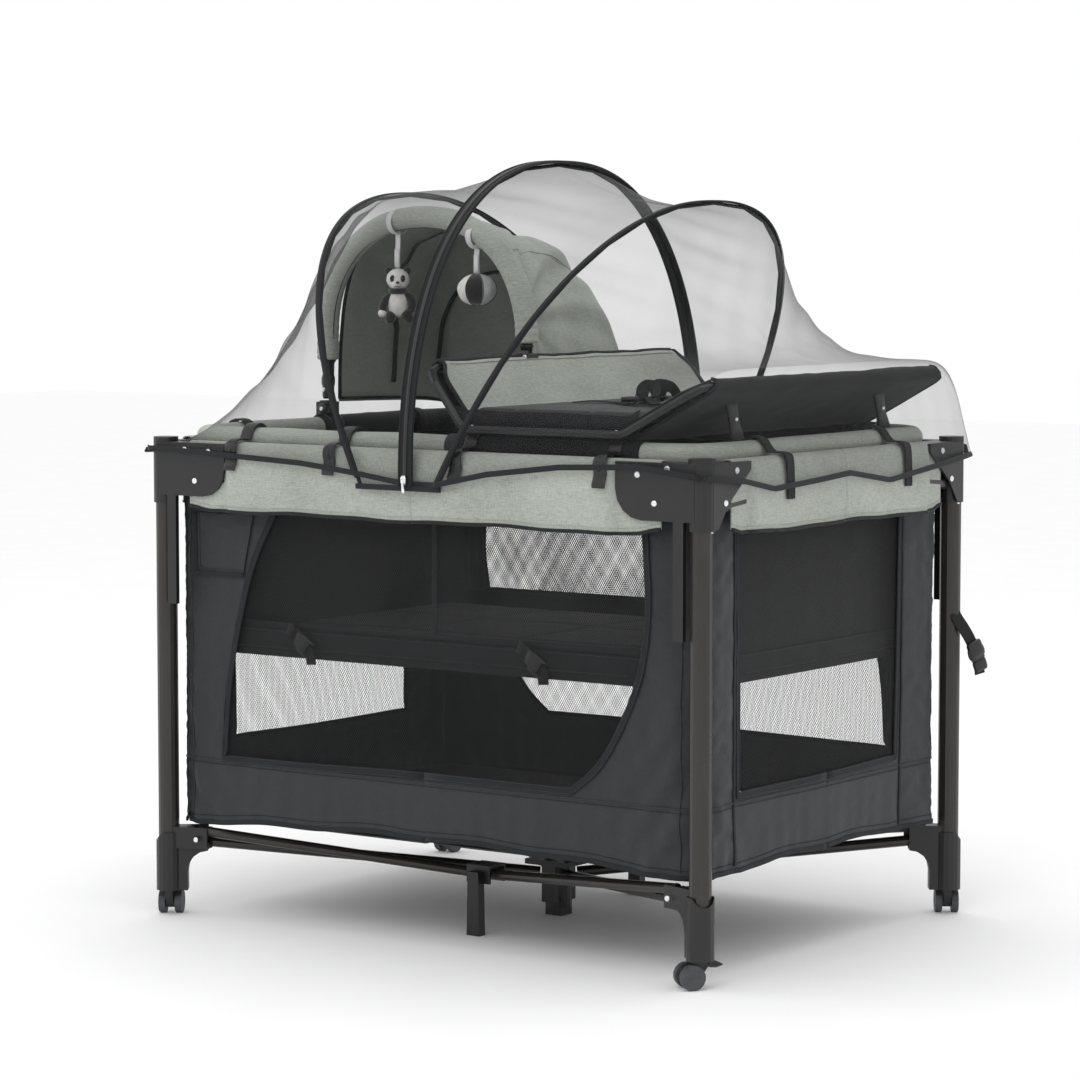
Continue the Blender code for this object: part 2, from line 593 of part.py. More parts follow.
for name, s, top, strap_low, parts_of in (
        ("toy_plush", 0.176, 1.0735, 1.018, (((0, 1.003), 0.0200, 0.0180, 0.0190), ((0, 0.963), 0.0190, 0.0160, 0.0260))),
        ("toy_ball", 0.364, 1.0510, 1.008, (((0, 0.986), 0.0340, 0.0270, 0.0265),))):
    at = on_bar(s)

    def strap(u, v, w, at=at):
        return at + span * u + depth_way * w + Vector((0, 0, v))

    toy = solid(name, at + Vector((0, 0, top)), "white",
                prism([(-0.005, strap_low), (0.005, strap_low), (0.005, top), (-0.005, top)], -0.0010, 0.0010, strap))
    for (off, zc), rx, ry, rz in parts_of:
        def ball(bm, at=at, zc=zc, rx=rx, ry=ry, rz=rz):
            m = Matrix.Translation(at + Vector((0, 0, zc))) @ Matrix(((span.x, depth_way.x, 0, 0), (span.y, depth_way.y, 0, 0), (0, 0, 1, 0), (0, 0, 0, 1))) @ Matrix.Diagonal((rx, ry, rz, 1))
            bmesh.ops.create_uvsphere(bm, u_segments=10, v_segments=6, radius=1.0, matrix=m)
        fuse(toy, ball)

# ------------------------------------------------------------------ insect net: three sewn-in hoops and the skin
def hoop(base_x, lean, steps=16):
    out = []
    for k in range(steps + 1):
        angle = math.pi * k / steps
        c, s = -math.cos(angle), math.sin(angle)
        v = NET_H * s ** (2 / NET_POW)
        y = NET_Y * math.copysign(abs(c) ** (2 / NET_POW), c)
        out.append(Vector((base_x + v * math.sin(lean), y, NET_Z + v * math.cos(lean))))
    return out


frame = sweep("net_frame", hoop(0.0, 0.0), NET_ROD, 8, (0, 0, NET_Z), "net")
for base_x, lean in ((-0.088, -math.radians(25)), (0.054, math.radians(29))):
    tool = sweep("net_frame.hoop%d" % len(frame.modifiers), hoop(base_x, lean), NET_ROD, 8, (0, 0, 0), None, tool=True)
    boolean(frame, tool, "UNION")
for s in (-1, 1):
    fuse(frame, box((-0.095, s * NET_Y - 0.0028, NET_Z - 0.007), (0.061, s * NET_Y + 0.0028, NET_Z + 0.001)))

SKIN_Y = 0.3990
stations = ((-0.536, 0.030), (-0.520, 0.300), (-0.495, 0.370), (-0.400, 0.430), (-0.250, 0.472), (-0.050, 0.495),
            (0.100, 0.492), (0.290, 0.452), (0.420, 0.390), (0.510, 0.310), (0.536, 0.030))
bm = bmesh.new()
rows = []
for x, h in stations:
    row = []
    for j in range(15):
        angle = math.pi * j / 14
        c, s = -math.cos(angle), math.sin(angle)
        row.append(bm.verts.new((x, SKIN_Y * math.copysign(abs(c) ** (2 / 2.7), c), NET_Z + h * max(s, 0.0) ** (2 / 2.7))))
    rows.append(row)
for a, b in zip(rows, rows[1:]):
    for j in range(14):
        bm.faces.new((a[j], a[j + 1], b[j + 1], b[j]))
skin = place(bm, "net_skin", (0, 0, NET_Z), "net")
mod = skin.modifiers.new("net", "SOLIDIFY")
mod.thickness = 0.0012
mod.offset = 0.0
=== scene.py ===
import math
import bpy
import numpy as np
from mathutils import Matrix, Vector, noise


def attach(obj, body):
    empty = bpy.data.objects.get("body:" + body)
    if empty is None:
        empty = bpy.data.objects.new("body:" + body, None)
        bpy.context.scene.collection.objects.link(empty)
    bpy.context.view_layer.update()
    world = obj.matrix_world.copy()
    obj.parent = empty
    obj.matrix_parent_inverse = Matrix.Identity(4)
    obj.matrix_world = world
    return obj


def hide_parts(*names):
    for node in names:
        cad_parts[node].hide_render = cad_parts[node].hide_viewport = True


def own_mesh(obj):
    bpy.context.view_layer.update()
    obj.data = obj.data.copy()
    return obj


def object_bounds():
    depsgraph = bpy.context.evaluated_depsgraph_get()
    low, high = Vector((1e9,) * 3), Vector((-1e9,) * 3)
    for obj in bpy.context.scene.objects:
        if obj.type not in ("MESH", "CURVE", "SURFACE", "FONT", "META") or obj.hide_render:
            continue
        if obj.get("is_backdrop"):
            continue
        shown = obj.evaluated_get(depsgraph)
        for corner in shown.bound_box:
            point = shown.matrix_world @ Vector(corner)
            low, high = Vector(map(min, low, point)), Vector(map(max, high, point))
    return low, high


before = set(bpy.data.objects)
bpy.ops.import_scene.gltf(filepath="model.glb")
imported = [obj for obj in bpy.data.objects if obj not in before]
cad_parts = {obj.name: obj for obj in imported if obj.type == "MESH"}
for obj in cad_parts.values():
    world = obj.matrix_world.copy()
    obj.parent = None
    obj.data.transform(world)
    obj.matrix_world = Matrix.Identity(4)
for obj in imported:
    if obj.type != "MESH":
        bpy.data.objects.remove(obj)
CAD_LO, CAD_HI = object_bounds()
SCENE = bpy.context.scene
V = Vector
PI = math.pi

# ------------------------------------------------------------------ camera
AZ, EL, DIST = math.radians(35.4735801), math.radians(4.73773992), 5.82010438
TARGET = V((-0.0294998534 * math.cos(AZ), -0.0294998534 * math.sin(AZ), 0.593845648))
BACK = V((math.sin(AZ) * math.cos(EL), -math.cos(AZ) * math.cos(EL), math.sin(EL)))
cam_data = bpy.data.cameras.new("view")
cam_data.sensor_width = 36.0
cam_data.lens = 123.511785
cam_data.clip_start, cam_data.clip_end = 0.1, 60.0
cam = bpy.data.objects.new("view", cam_data)
SCENE.collection.objects.link(cam)
cam.location = TARGET + BACK * DIST
cam.rotation_mode = "QUATERNION"
cam.rotation_quaternion = (-BACK).to_track_quat("-Z", "Y")
SCENE.camera = cam

# ------------------------------------------------------------------ dimensions shared with the frame
LEGS = {"fl": (-1, -1), "fr": (1, -1), "rr": (1, 1), "rl": (-1, 1)}
WALL_X, WALL_Y = 0.4885, 0.3475    # planes of the short and the long fabric walls
RIM_X, RIM_Y, RIM_Z, RIM_C = 0.4675, 0.327, 0.758, 0.050
RIM_R = 0.0172
BAR_L, BAR_R = V((-0.4675, 0.005, 0.808)), V((0.003, -0.088, 0.8975))
SPAN_V = V((BAR_R.x - BAR_L.x, BAR_R.y - BAR_L.y, 0))
SPAN = SPAN_V.length
SPAN_V.normalize()
DEPTH_V = V((-SPAN_V.y, SPAN_V.x, 0))
UP = V((0, 0, 1))


def lin(r, g, b):
    return tuple((c / 255 / 12.92) if c / 255 <= 0.04045 else ((c / 255 + 0.055) / 1.055) ** 2.4 for c in (r, g, b)) + (1.0,)


# ------------------------------------------------------------------ materials
class Mat:
    """A node material being put together."""

    def __init__(self, name):
        self.m = bpy.data.materials.new(name)
        self.m.use_nodes = True
        self.t = self.m.node_tree
        self.b = self.t.nodes["Principled BSDF"]
        self.out = self.t.nodes["Material Output"]
        self.co = self.n("ShaderNodeTexCoord").outputs["Object"]

    def n(self, kind, **kw):
        node = self.t.nodes.new(kind)
        for k, v in kw.items():
            setattr(node, k, v)
        return node

    def put(self, socket, value):
        if isinstance(value, bpy.types.NodeSocket):
            self.t.links.new(value, socket)
        else:
            socket.default_value = value

    def math(self, op, a, b=0.0, c=0.0, clamp=False):
        node = self.n("ShaderNodeMath", operation=op, use_clamp=clamp)
        self.put(node.inputs[0], a)
        self.put(node.inputs[1], b)
        self.put(node.inputs[2], c)
        return node.outputs[0]

    def noise(self, scale, detail=2.0, rough=0.5, stretch=None):
        node = self.n("ShaderNodeTexNoise")
        src = self.co
        if stretch:
            mp = self.n("ShaderNodeMapping")
            self.put(mp.inputs["Vector"], self.co)
            mp.inputs["Scale"].default_value = stretch
            src = mp.outputs[0]
        self.put(node.inputs["Vector"], src)
        node.inputs["Scale"].default_value = scale
        node.inputs["Detail"].default_value = detail
        node.inputs["Roughness"].default_value = rough
        return node.outputs["Fac"]

    def ramp(self, fac, stops):
        node = self.n("ShaderNodeValToRGB")
        self.put(node.inputs[0], fac)
        els = node.color_ramp.elements
        els[0].position, els[0].color = stops[0]
        els[1].position, els[1].color = stops[-1]
        for p, c in stops[1:-1]:
            e = els.new(p)
            e.color = c
        return node.outputs["Color"]

    def bump(self, height, distance, strength=1.0, normal=None):
        node = self.n("ShaderNodeBump")
        self.put(node.inputs["Height"], height)
        node.inputs["Distance"].default_value = distance
        node.inputs["Strength"].default_value = strength
        if normal is not None:
            self.put(node.inputs["Normal"], normal)
        return node.outputs["Normal"]


def shade(rgb, k):
    return (rgb[0] * k, rgb[1] * k, rgb[2] * k, 1.0)


def cloth(name, rgb, slub=0.25, rough=0.92, sheen=0.25, thread=0.0011, puff=0.0005, tone=0.10, crease=0.0):
    """Woven cloth: warp and weft slubs in the colour, a thread weave in the bump, and slow tone changes."""
    s = Mat(name)
    warp = s.noise(1.0, 3.0, 0.6, (1500, 1500, 95))
    weft = s.noise(1.0, 3.0, 0.6, (95, 95, 1500))
    mix = s.math("MULTIPLY_ADD", s.math("ADD", warp, weft), 0.5, 0.0)
    slow = s.noise(7.0, 3.0, 0.55)
    fac = s.math("MULTIPLY_ADD", slow, tone * 2, s.math("SUBTRACT", mix, tone))
    s.put(s.b.inputs["Base Color"], s.ramp(fac, [(0.36, shade(rgb, 1 - slub)), (0.50, shade(rgb, 1.0)), (0.64, shade(rgb, 1 + slub * 0.9))]))
    xyz = s.n("ShaderNodeSeparateXYZ")
    s.put(xyz.inputs[0], s.co)
    k = PI / thread
    across = s.math("SINE", s.math("MULTIPLY", s.math("ADD", xyz.outputs[0], xyz.outputs[1]), k))
    along = s.math("SINE", s.math("MULTIPLY", xyz.outputs[2], k))
    weave = s.math("MULTIPLY", across, along)
    n1 = s.bump(s.math("MULTIPLY_ADD", weave, 0.5, mix), puff, 0.55)
    if crease:
        n1 = s.bump(s.noise(1.0, 4.0, 0.6, (26, 26, 40)), crease, 0.8, n1)
    s.put(s.b.inputs["Normal"], n1)
    s.put(s.b.inputs["Roughness"], s.math("MULTIPLY_ADD", slow, 0.10, rough - 0.05, clamp=True))
    s.b.inputs["Sheen Weight"].default_value = sheen
    s.b.inputs["Sheen Roughness"].default_value = 0.5
    s.b.inputs["Specular IOR Level"].default_value = 0.25
    return s.m


def plastic(name, rgb, rough=0.42, grain=0.00010, wear=0.5):
    s = Mat(name)
    slow = s.noise(18.0, 4.0, 0.6)
    fine = s.noise(1400.0, 2.0, 0.5)
    s.put(s.b.inputs["Base Color"], s.ramp(slow, [(0.30, shade(rgb, 0.80)), (0.55, shade(rgb, 1.0)), (0.80, shade(rgb, 1.0 + 0.5 * wear))]))
    s.put(s.b.inputs["Roughness"], s.math("MULTIPLY_ADD", slow, 0.16, rough - 0.08, clamp=True))
    s.put(s.b.inputs["Normal"], s.bump(fine, grain, 0.6))
    return s.m


def paint(name, rgb, rough=0.30, metallic=0.0):
    s = Mat(name)
    peel = s.noise(520.0, 2.0, 0.5)
    slow = s.noise(9.0, 3.0, 0.5)
    rub = s.noise(1.0, 5.0, 0.65, (34, 34, 9))
    s.put(s.b.inputs["Base Color"], s.ramp(rub, [(0.32, shade(rgb, 0.82)), (0.52, shade(rgb, 1.0)), (0.74, shade(rgb, 1.35))]))
    s.put(s.b.inputs["Roughness"], s.math("MULTIPLY_ADD", slow, 0.14, rough - 0.07, clamp=True))
    s.put(s.b.inputs["Normal"], s.bump(peel, 0.00006, 0.5))
    s.b.inputs["Metallic"].default_value = metallic
    return s.m


def metal(name, rgb, rough=0.28):
    s = Mat(name)
    brushed = s.noise(1.0, 2.0, 0.5, (300, 300, 2400))
    slow = s.noise(60.0, 3.0, 0.5)
    s.put(s.b.inputs["Base Color"], s.ramp(slow, [(0.3, shade(rgb, 0.85)), (0.7, shade(rgb, 1.05))]))
    s.b.inputs["Metallic"].default_value = 1.0
    s.put(s.b.inputs["Roughness"], s.math("MULTIPLY_ADD", brushed, 0.16, rough - 0.08, clamp=True))
    return s.m


def rubber(name, rgb):
    s = Mat(name)
    dust = s.noise(90.0, 4.0, 0.65)
    s.put(s.b.inputs["Base Color"], s.ramp(dust, [(0.35, shade(rgb, 0.8)), (0.6, shade(rgb, 1.1)), (0.8, shade(rgb, 1.6))]))
    s.put(s.b.inputs["Roughness"], s.math("MULTIPLY_ADD", dust, 0.2, 0.5, clamp=True))
    s.put(s.b.inputs["Normal"], s.bump(s.noise(700.0), 0.00012, 0.6))
    return s.m


def plush(name, rgb, pile=0.0012):
    s = Mat(name)
    fur = s.noise(900.0, 4.0, 0.7)
    clump = s.noise(160.0, 3.0, 0.6)
    s.put(s.b.inputs["Base Color"], s.ramp(s.math("MULTIPLY_ADD", clump, 0.5, s.math("MULTIPLY", fur, 0.5)),
                                           [(0.30, shade(rgb, 0.72)), (0.50, shade(rgb, 0.98)), (0.70, shade(rgb, 1.08))]))
    s.put(s.b.inputs["Normal"], s.bump(fur, pile, 0.6, s.bump(clump, pile * 1.5, 0.5)))
    s.b.inputs["Roughness"].default_value = 1.0
    s.b.inputs["Sheen Weight"].default_value = 0.6
    s.b.inputs["Sheen Roughness"].default_value = 0.4
    return s.m


def holes(name, rgb, axis, pitch, cut, rough=0.75):
    """Knitted mesh: staggered holes right through. axis is 0 for a wall that runs along X, 1 along Y."""
    s = Mat(name)
    xyz = s.n("ShaderNodeSeparateXYZ")
    s.put(xyz.inputs[0], s.co)
    u, v = xyz.outputs[axis], xyz.outputs[2]
    k = PI / pitch
    a = s.math("ABSOLUTE", s.math("SINE", s.math("MULTIPLY", s.math("MULTIPLY_ADD", v, 0.62, u), k)))
    b = s.math("ABSOLUTE", s.math("SINE", s.math("MULTIPLY", s.math("MULTIPLY_ADD", v, -0.62, u), k)))
    opening = s.math("GREATER_THAN", s.math("MULTIPLY", a, b), cut)
    mix = s.n("ShaderNodeMixShader")
    clear = s.n("ShaderNodeBsdfTransparent")
    s.put(mix.inputs[0], opening)
    s.put(mix.inputs[1], s.b.outputs[0])
    s.put(mix.inputs[2], clear.outputs[0])
    s.put(s.out.inputs["Surface"], mix.outputs[0])
    yarn = s.noise(1.0, 2.0, 0.5, (900, 900, 900))
    s.put(s.b.inputs["Base Color"], s.ramp(yarn, [(0.3, shade(rgb, 0.7)), (0.7, shade(rgb, 1.3))]))
    s.b.inputs["Roughness"].default_value = rough
    s.b.inputs["Sheen Weight"].default_value = 0.2
    s.m.surface_render_method = "DITHERED"
    return s.m


def net(name, rgb, cover):
    """Insect net: threads far finer than a lens sees, so a share of cover with a faint thread pattern."""
    s = Mat(name)
    xyz = s.n("ShaderNodeSeparateXYZ")
    s.put(xyz.inputs[0], s.co)
    thread = s.noise(1.0, 2.0, 0.5, (700, 700, 700))
    slow = s.noise(5.0, 2.0, 0.5)
    share = s.math("MULTIPLY_ADD", thread, cover * 0.7, s.math("MULTIPLY_ADD", slow, cover * 0.35, cover * 0.48), clamp=True)
    mix = s.n("ShaderNodeMixShader")
    clear = s.n("ShaderNodeBsdfTransparent")
    edge = s.n("ShaderNodeLayerWeight")
    edge.inputs["Blend"].default_value = 0.5
    slant = s.math("POWER", edge.outputs["Facing"], 2.2)
    s.put(mix.inputs[0], s.math("MULTIPLY_ADD", slant, 0.52, share, clamp=True))
    s.put(mix.inputs[1], clear.outputs[0])
    s.put(mix.inputs[2], s.b.outputs[0])
    s.put(s.out.inputs["Surface"], mix.outputs[0])
    s.put(s.b.inputs["Base Color"], s.ramp(slow, [(0.3, shade(rgb, 0.8)), (0.7, shade(rgb, 1.2))]))
    s.b.inputs["Roughness"].default_value = 0.6
    s.m.surface_render_method = "DITHERED"
    return s.m


SAGE = lin(162, 167, 159)
M = {
    "sage": cloth("sage_melange", SAGE, slub=0.30, tone=0.12),
    "sage_pad": cloth("sage_padded", SAGE, slub=0.32, tone=0.10, crease=0.004),
    # the hood's lining: the sage cloth made darker to stand for the shade inside the hood, painted shade
    "lining": cloth("hood_lining_painted_shade", lin(146, 152, 143), slub=0.24, rough=0.95),
    "panel": cloth("charcoal_panel", lin(43, 45, 48), slub=0.16, rough=0.62, sheen=0.12, thread=0.0008, puff=0.00025, crease=0.0022),
    "skirt": cloth("charcoal_skirt", lin(45, 47, 50), slub=0.14, rough=0.60, sheen=0.12, thread=0.0008, puff=0.00025, crease=0.0018),
    "black": cloth("black_cloth", lin(26, 27, 29), slub=0.20, rough=0.80, sheen=0.08, thread=0.0009, crease=0.0016),
    "mat": cloth("mat_grey", lin(48, 49, 51), slub=0.18, rough=0.70, sheen=0.10, crease=0.0010),
    "binding": cloth("binding_tape", lin(30, 32, 35), slub=0.25, rough=0.75, sheen=0.06, thread=0.0014, puff=0.0007),
    "webbing": cloth("webbing", lin(24, 24, 25), slub=0.30, rough=0.70, sheen=0.06, thread=0.0019, puff=0.0010),
    "ribbon": cloth("white_ribbon", lin(214, 213, 214), slub=0.06, rough=0.55, sheen=0.3, thread=0.0010),
    "mesh_x": holes("window_mesh_long", lin(18, 19, 20), 0, 0.0040, 0.17),
    "mesh_y": holes("window_mesh_short", lin(18, 19, 20), 1, 0.0040, 0.17),
    "net": net("insect_net", lin(30, 31, 33), 0.125),
    "plastic": plastic("black_plastic", lin(24, 24, 25)),
    "plastic_gloss": plastic("black_plastic_gloss", lin(20, 20, 21), rough=0.30),
    "tube": paint("tube_paint", lin(38, 35, 32), rough=0.30),
    "grey_tube": paint("grey_tube_paint", lin(92, 94, 97), rough=0.28, metallic=0.4),
    "steel": metal("bright_steel", (0.86, 0.86, 0.88)),
    "wheel": rubber("caster_grey", lin(62, 64, 67)),
    "fur_white": plush("plush_white", lin(226, 224, 220)),
    "fur_black": plush("plush_black", lin(34, 34, 36)),
    "fur_grey": plush("plush_grey", lin(196, 197, 198), 0.0006),
}


# ------------------------------------------------------------------ mesh building
class Geo:
    """Faces gathered from several shapes, which become one mesh object."""

    def __init__(self):
        self.v, self.f, self.m, self.mats = [], [], [], []

    def slot(self, mat):
        if mat not in self.mats:
            self.mats.append(mat)
        return self.mats.index(mat)

    def add(self, verts, faces, mat):
        base, k = len(self.v), self.slot(mat)
        self.v += [tuple(p) for p in verts]
        self.f += [tuple(base + i for i in f) for f in faces]
        self.m += [k] * len(faces)

    def sweep(self, pts, prof, mat, ref=None, closed=False, scale=None):
        """A profile carried along points. ref is the way the profile's second axis points."""
        pts = [V(p) for p in pts]
        if not closed:      # points too close for the profile's width would turn it over
            near = 0.2 * max(max(abs(x), abs(y)) for x, y in prof)
            use = [0]
            for i in range(1, len(pts)):
                if (pts[i] - pts[use[-1]]).length >= near:
                    use.append(i)
            if len(use) > 1:
                ref = [ref[i] for i in use] if isinstance(ref, list) else ref
                scale = [scale[i] for i in use] if scale else scale
                pts = [pts[i] for i in use]
        n, k = len(pts), len(prof)
        rings, last = [], None
        for i, p in enumerate(pts):
            a = pts[(i - 1) % n] if closed or i else p
            b = pts[(i + 1) % n] if closed or i < n - 1 else p
            t = (b - a).normalized()
            r = (ref[i] if isinstance(ref, list) else ref) if ref is not None else (last if last is not None else (UP if abs(t.z) < 0.9 else V((1, 0, 0))))
            up = r - t * r.dot(t)
            if up.length < 1e-6:
                up = t.orthogonal()
            up.normalize()
            last = up
            side = t.cross(up)
            s = scale[i] if scale else 1.0
            sa, sb = s if isinstance(s, tuple) else (s, s)
            rings.append([p + side * x * sa + up * y * sb for x, y in prof])
        verts = [q for ring in rings for q in ring]
        faces = []
        for i in range(n if closed else n - 1):
            j = (i + 1) % n
            for c in range(k):
                d = (c + 1) % k
                faces.append((i * k + c, j * k + c, j * k + d, i * k + d))
        if not closed:
            faces.append(tuple(range(k)))
            faces.append(tuple((n - 1) * k + c for c in reversed(range(k))))
        self.add(verts, faces, mat)

    def lathe(self, prof, at, axis, mat, n=16):
        """Radius and height pairs turned round an axis."""
        axis = V(axis).normalized()
        x = axis.orthogonal().normalized()
        y = axis.cross(x)
        at = V(at)
        verts = [at + axis * h + (x * math.cos(2 * PI * i / n) + y * math.sin(2 * PI * i / n)) * r for r, h in prof for i in range(n)]
        faces = []
        for a in range(len(prof) - 1):
            for i in range(n):
                j = (i + 1) % n
                faces.append((a * n + i, a * n + j, (a + 1) * n + j, (a + 1) * n + i))
        faces.append(tuple(reversed(range(n))))
        faces.append(tuple((len(prof) - 1) * n + i for i in range(n)))
        self.add(verts, faces, mat)

    def rivet(self, at, axis, r=0.0042, mat=None):
        self.lathe([(r * 1.15, -0.0006), (r * 1.15, 0.0004), (r, 0.0011), (r * 0.82, 0.0017), (r * 0.60, 0.0019), (r * 0.50, 0.0013), (r * 0.30, 0.0012)],
                   at, axis, mat or M["steel"])

    def ball(self, at, radii, axes, mat, nu=24, nv=16, lump=0.0, seed=0.0, section=None):
        """A stuffed form: an ellipsoid whose surface is a little uneven. section(nx) gives another material by side."""
        at = V(at)
        ax = [V(a).normalized() for a in axes]
        verts, faces = [], []
        for j in range(nv + 1):
            ph = PI * j / nv
            for i in range(nu):
                th = 2 * PI * i / nu
                d = V((math.sin(ph) * math.cos(th), math.sin(ph) * math.sin(th), math.cos(ph)))
                w = 1 + lump * noise.noise(d * 2.3 + V((seed, seed * 2, 0)))
                verts.append(at + sum((ax[c] * d[c] * radii[c] * w for c in range(3)), V((0, 0, 0))))
        for j in range(nv):
            for i in range(nu):
                k = (i + 1) % nu
                faces.append((j * nu + i, (j + 1) * nu + i, (j + 1) * nu + k, j * nu + k))
        base = len(self.f)
        self.add(verts, faces, mat)
        if section:
            for q, f in enumerate(faces):
                c = sum((V(verts[a]) for a in f), V((0, 0, 0))) / 4 - at
                self.m[base + q] = self.slot(section(c.dot(ax[0]) / radii[0], c.dot(ax[1]) / radii[1]))

    def patch(self, nu, nv, fn, mat, keep=None, wrap=False):
        """A sheet of nu by nv cells. fn(i / nu, j / nv) is a point; keep(u, v) says which cells stay."""
        verts = [fn(i / nu, j / nv) for j in range(nv + 1) for i in range(nu + 1)]
        faces, mid = [], []
        for j in range(nv):
            for i in range(nu):
                if keep is None or keep((i + 0.5) / nu, (j + 0.5) / nv):
                    a = j * (nu + 1) + i
                    faces.append((a, a + 1, a + nu + 2, a + nu + 1))
        used = sorted({i for f in faces for i in f})
        at = {i: k for k, i in enumerate(used)}
        self.add([verts[i] for i in used], [tuple(at[i] for i in f) for f in faces], mat)

    def area(self):
        total = 0.0
        for f in self.f:
            p = [V(self.v[i]) for i in f]
            for i in range(1, len(p) - 1):
                total += (p[i] - p[0]).cross(p[i + 1] - p[0]).length / 2
        return total

    def build(self, name, body=None, slot=None, thick=0.0, offset=-1.0, lining=None, smooth=True, subdiv=0, weld=False):
        mesh = bpy.data.meshes.new(name)
        mesh.from_pydata(self.v, [], self.f)
        for m in self.mats:
            mesh.materials.append(m)
        mesh.polygons.foreach_set("material_index", self.m)
        if smooth:
            mesh.polygons.foreach_set("use_smooth", [True] * len(self.f))
        mesh.validate()
        mesh.update()
        o = bpy.data.objects.new(name, mesh)
        SCENE.collection.objects.link(o)
        if weld:
            w = o.modifiers.new("weld", "WELD")
            w.merge_threshold = 0.0001
        if subdiv:
            m = o.modifiers.new("smooth", "SUBSURF")
            m.levels = m.render_levels = subdiv
        if thick:
            m = o.modifiers.new("thickness", "SOLIDIFY")
            m.thickness, m.offset = thick, offset
            if lining:
                mesh.materials.append(lining)
                m.material_offset = len(mesh.materials) - 1
        if body:
            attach(o, body)
        return o


def round_prof(r, n=12):
    return [(r * math.cos(2 * PI * i / n), r * math.sin(2 * PI * i / n)) for i in range(n)]


def flat_prof(w, t, n=12):
    """A flat strip with rounded edges, w wide and t thick."""
    out = []
    for i in range(n):
        c, s = math.cos(2 * PI * i / n), math.sin(2 * PI * i / n)
        out.append((w / 2 * math.copysign(abs(c) ** 0.35, c), t / 2 * math.copysign(abs(s) ** 0.6, s)))
    return out


def spline(pts, per=8, closed=False):
    """Points on a smooth curve through the given ones."""
    pts = [V(p) for p in pts]
    n, out = len(pts), []
    for i in range(n if closed else n - 1):
        p0, p1, p2, p3 = (pts[(i + k) % n] if closed else pts[min(max(i + k, 0), n - 1)] for k in (-1, 0, 1, 2))
        for j in range(per):
            t = j / per
            out.append(0.5 * ((2 * p1) + (p2 - p0) * t + (2 * p0 - 5 * p1 + 4 * p2 - p3) * t * t + (3 * p1 - p0 - 3 * p2 + p3) * t ** 3))
    if not closed:
        out.append(pts[-1])
    return out


def wob(p, f, seed=0.0):
    return noise.noise(V((p[0] * f + seed, p[1] * f - seed, p[2] * f + 2 * seed)))


def step(a, b, x):
    t = min(1.0, max(0.0, (x - a) / (b - a)))
    return t * t * (3 - 2 * t)


def table(rows, x):
    return float(np.interp(x, [r[0] for r in rows], [r[1] for r in rows]))


def fold(o, leg, along):
    """A piece of the fabric walls: rides on its leg."""
    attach(o, "leg_" + leg)
    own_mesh(o)
    return o


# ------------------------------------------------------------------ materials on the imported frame
def wear(node, *mats):
    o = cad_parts[node]
    o.data.materials.clear()
    for m in mats:
        o.data.materials.append(m)
    for p in o.data.polygons:
        p.material_index = 0


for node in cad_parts:
    if node.startswith(("leg_tube", "arm_", "floor_link", "rail_long", "rail_short")):
        wear(node, M["tube"])
    elif node.startswith("caster_wheels"):
        wear(node, M["wheel"])
    elif node == "changer_frame":
        wear(node, M["plastic"])
    elif node == "net_frame":
        wear(node, M["binding"])
    elif node.startswith(("corner", "foot", "hub", "mid_foot", "rail_latch", "caster_fork", "brake", "hood_clamp")):
        wear(node, M["plastic"])
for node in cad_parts:
    if node.startswith(("leg_tube", "arm_", "floor_link", "rail_", "caster", "changer_frame", "net_frame", "corner", "foot_")):
        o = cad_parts[node]
        o.data.polygons.foreach_set("use_smooth", [True] * len(o.data.polygons))
        o.data.set_sharp_from_angle(angle=math.radians(38))

# ------------------------------------------------------------------ fabric walls of the yard
WALL_TOP = 0.702
WINDOW_LONG = [(-0.262, 0.702), (-0.293, 0.640), (-0.335, 0.560), (-0.366, 0.460), (-0.386, 0.360), (-0.394, 0.256),
               (-0.200, 0.258), (0.000, 0.262), (0.268, 0.262), (0.318, 0.305), (0.362, 0.375), (0.392, 0.452), (0.404, 0.543), (0.398, 0.640), (0.394, 0.702)]
WINDOW_SHORT = [(-0.245, 0.702), (-0.245, 0.640), (-0.243, 0.420), (-0.242, 0.262), (-0.020, 0.262), (0.208, 0.266), (0.212, 0.420), (0.216, 0.640), (0.218, 0.702)]


def curve_2d(rows, per=6):
    return [(p.x, p.y) for p in spline([(a, b, 0) for a, b in rows], per)]


def outline(rows, sharp):
    """A smooth line through rows that keeps its corner at the rows listed in sharp."""
    out, start = [], 0
    for c in list(sharp) + [len(rows) - 1]:
        seg = curve_2d(rows[start:c + 1])
        out += seg[(1 if out else 0):]
        start = c
    return out


LONG_LINE = outline(WINDOW_LONG, (5, 8))
SHORT_LINE = outline(WINDOW_SHORT, (3, 5))


def inside(poly, u, z):
    hit = False
    for (x0, y0), (x1, y1) in zip(poly, poly[1:] + poly[:1]):
        if (y0 > z) != (y1 > z) and u < x0 + (z - y0) / (y1 - y0) * (x1 - x0):
            hit = not hit
    return hit


SIDES = {
    "front": (0.480, WALL_Y, lambda u, d, z: V((u, -d, z)), LONG_LINE, "x", ("fl", "fr")),
    "rear": (0.480, WALL_Y, lambda u, d, z: V((-u, d, z)), LONG_LINE, "x", ("rr", "rl")),
    "right": (0.340, WALL_X, lambda u, d, z: V((d, u, z)), SHORT_LINE, "y", ("fr", "rr")),
    "left": (0.340, WALL_X, lambda u, d, z: V((-d, -u, z)), SHORT_LINE, "y", ("rl", "fl")),
}


def hem(side, u):
    U = SIDES[side][0]
    s = abs(u) / U
    return 0.1480 + (0.017 if U > 0.4 else 0.008) * (1 - s * s) + 0.0018 * math.sin(u * 31 + len(side))


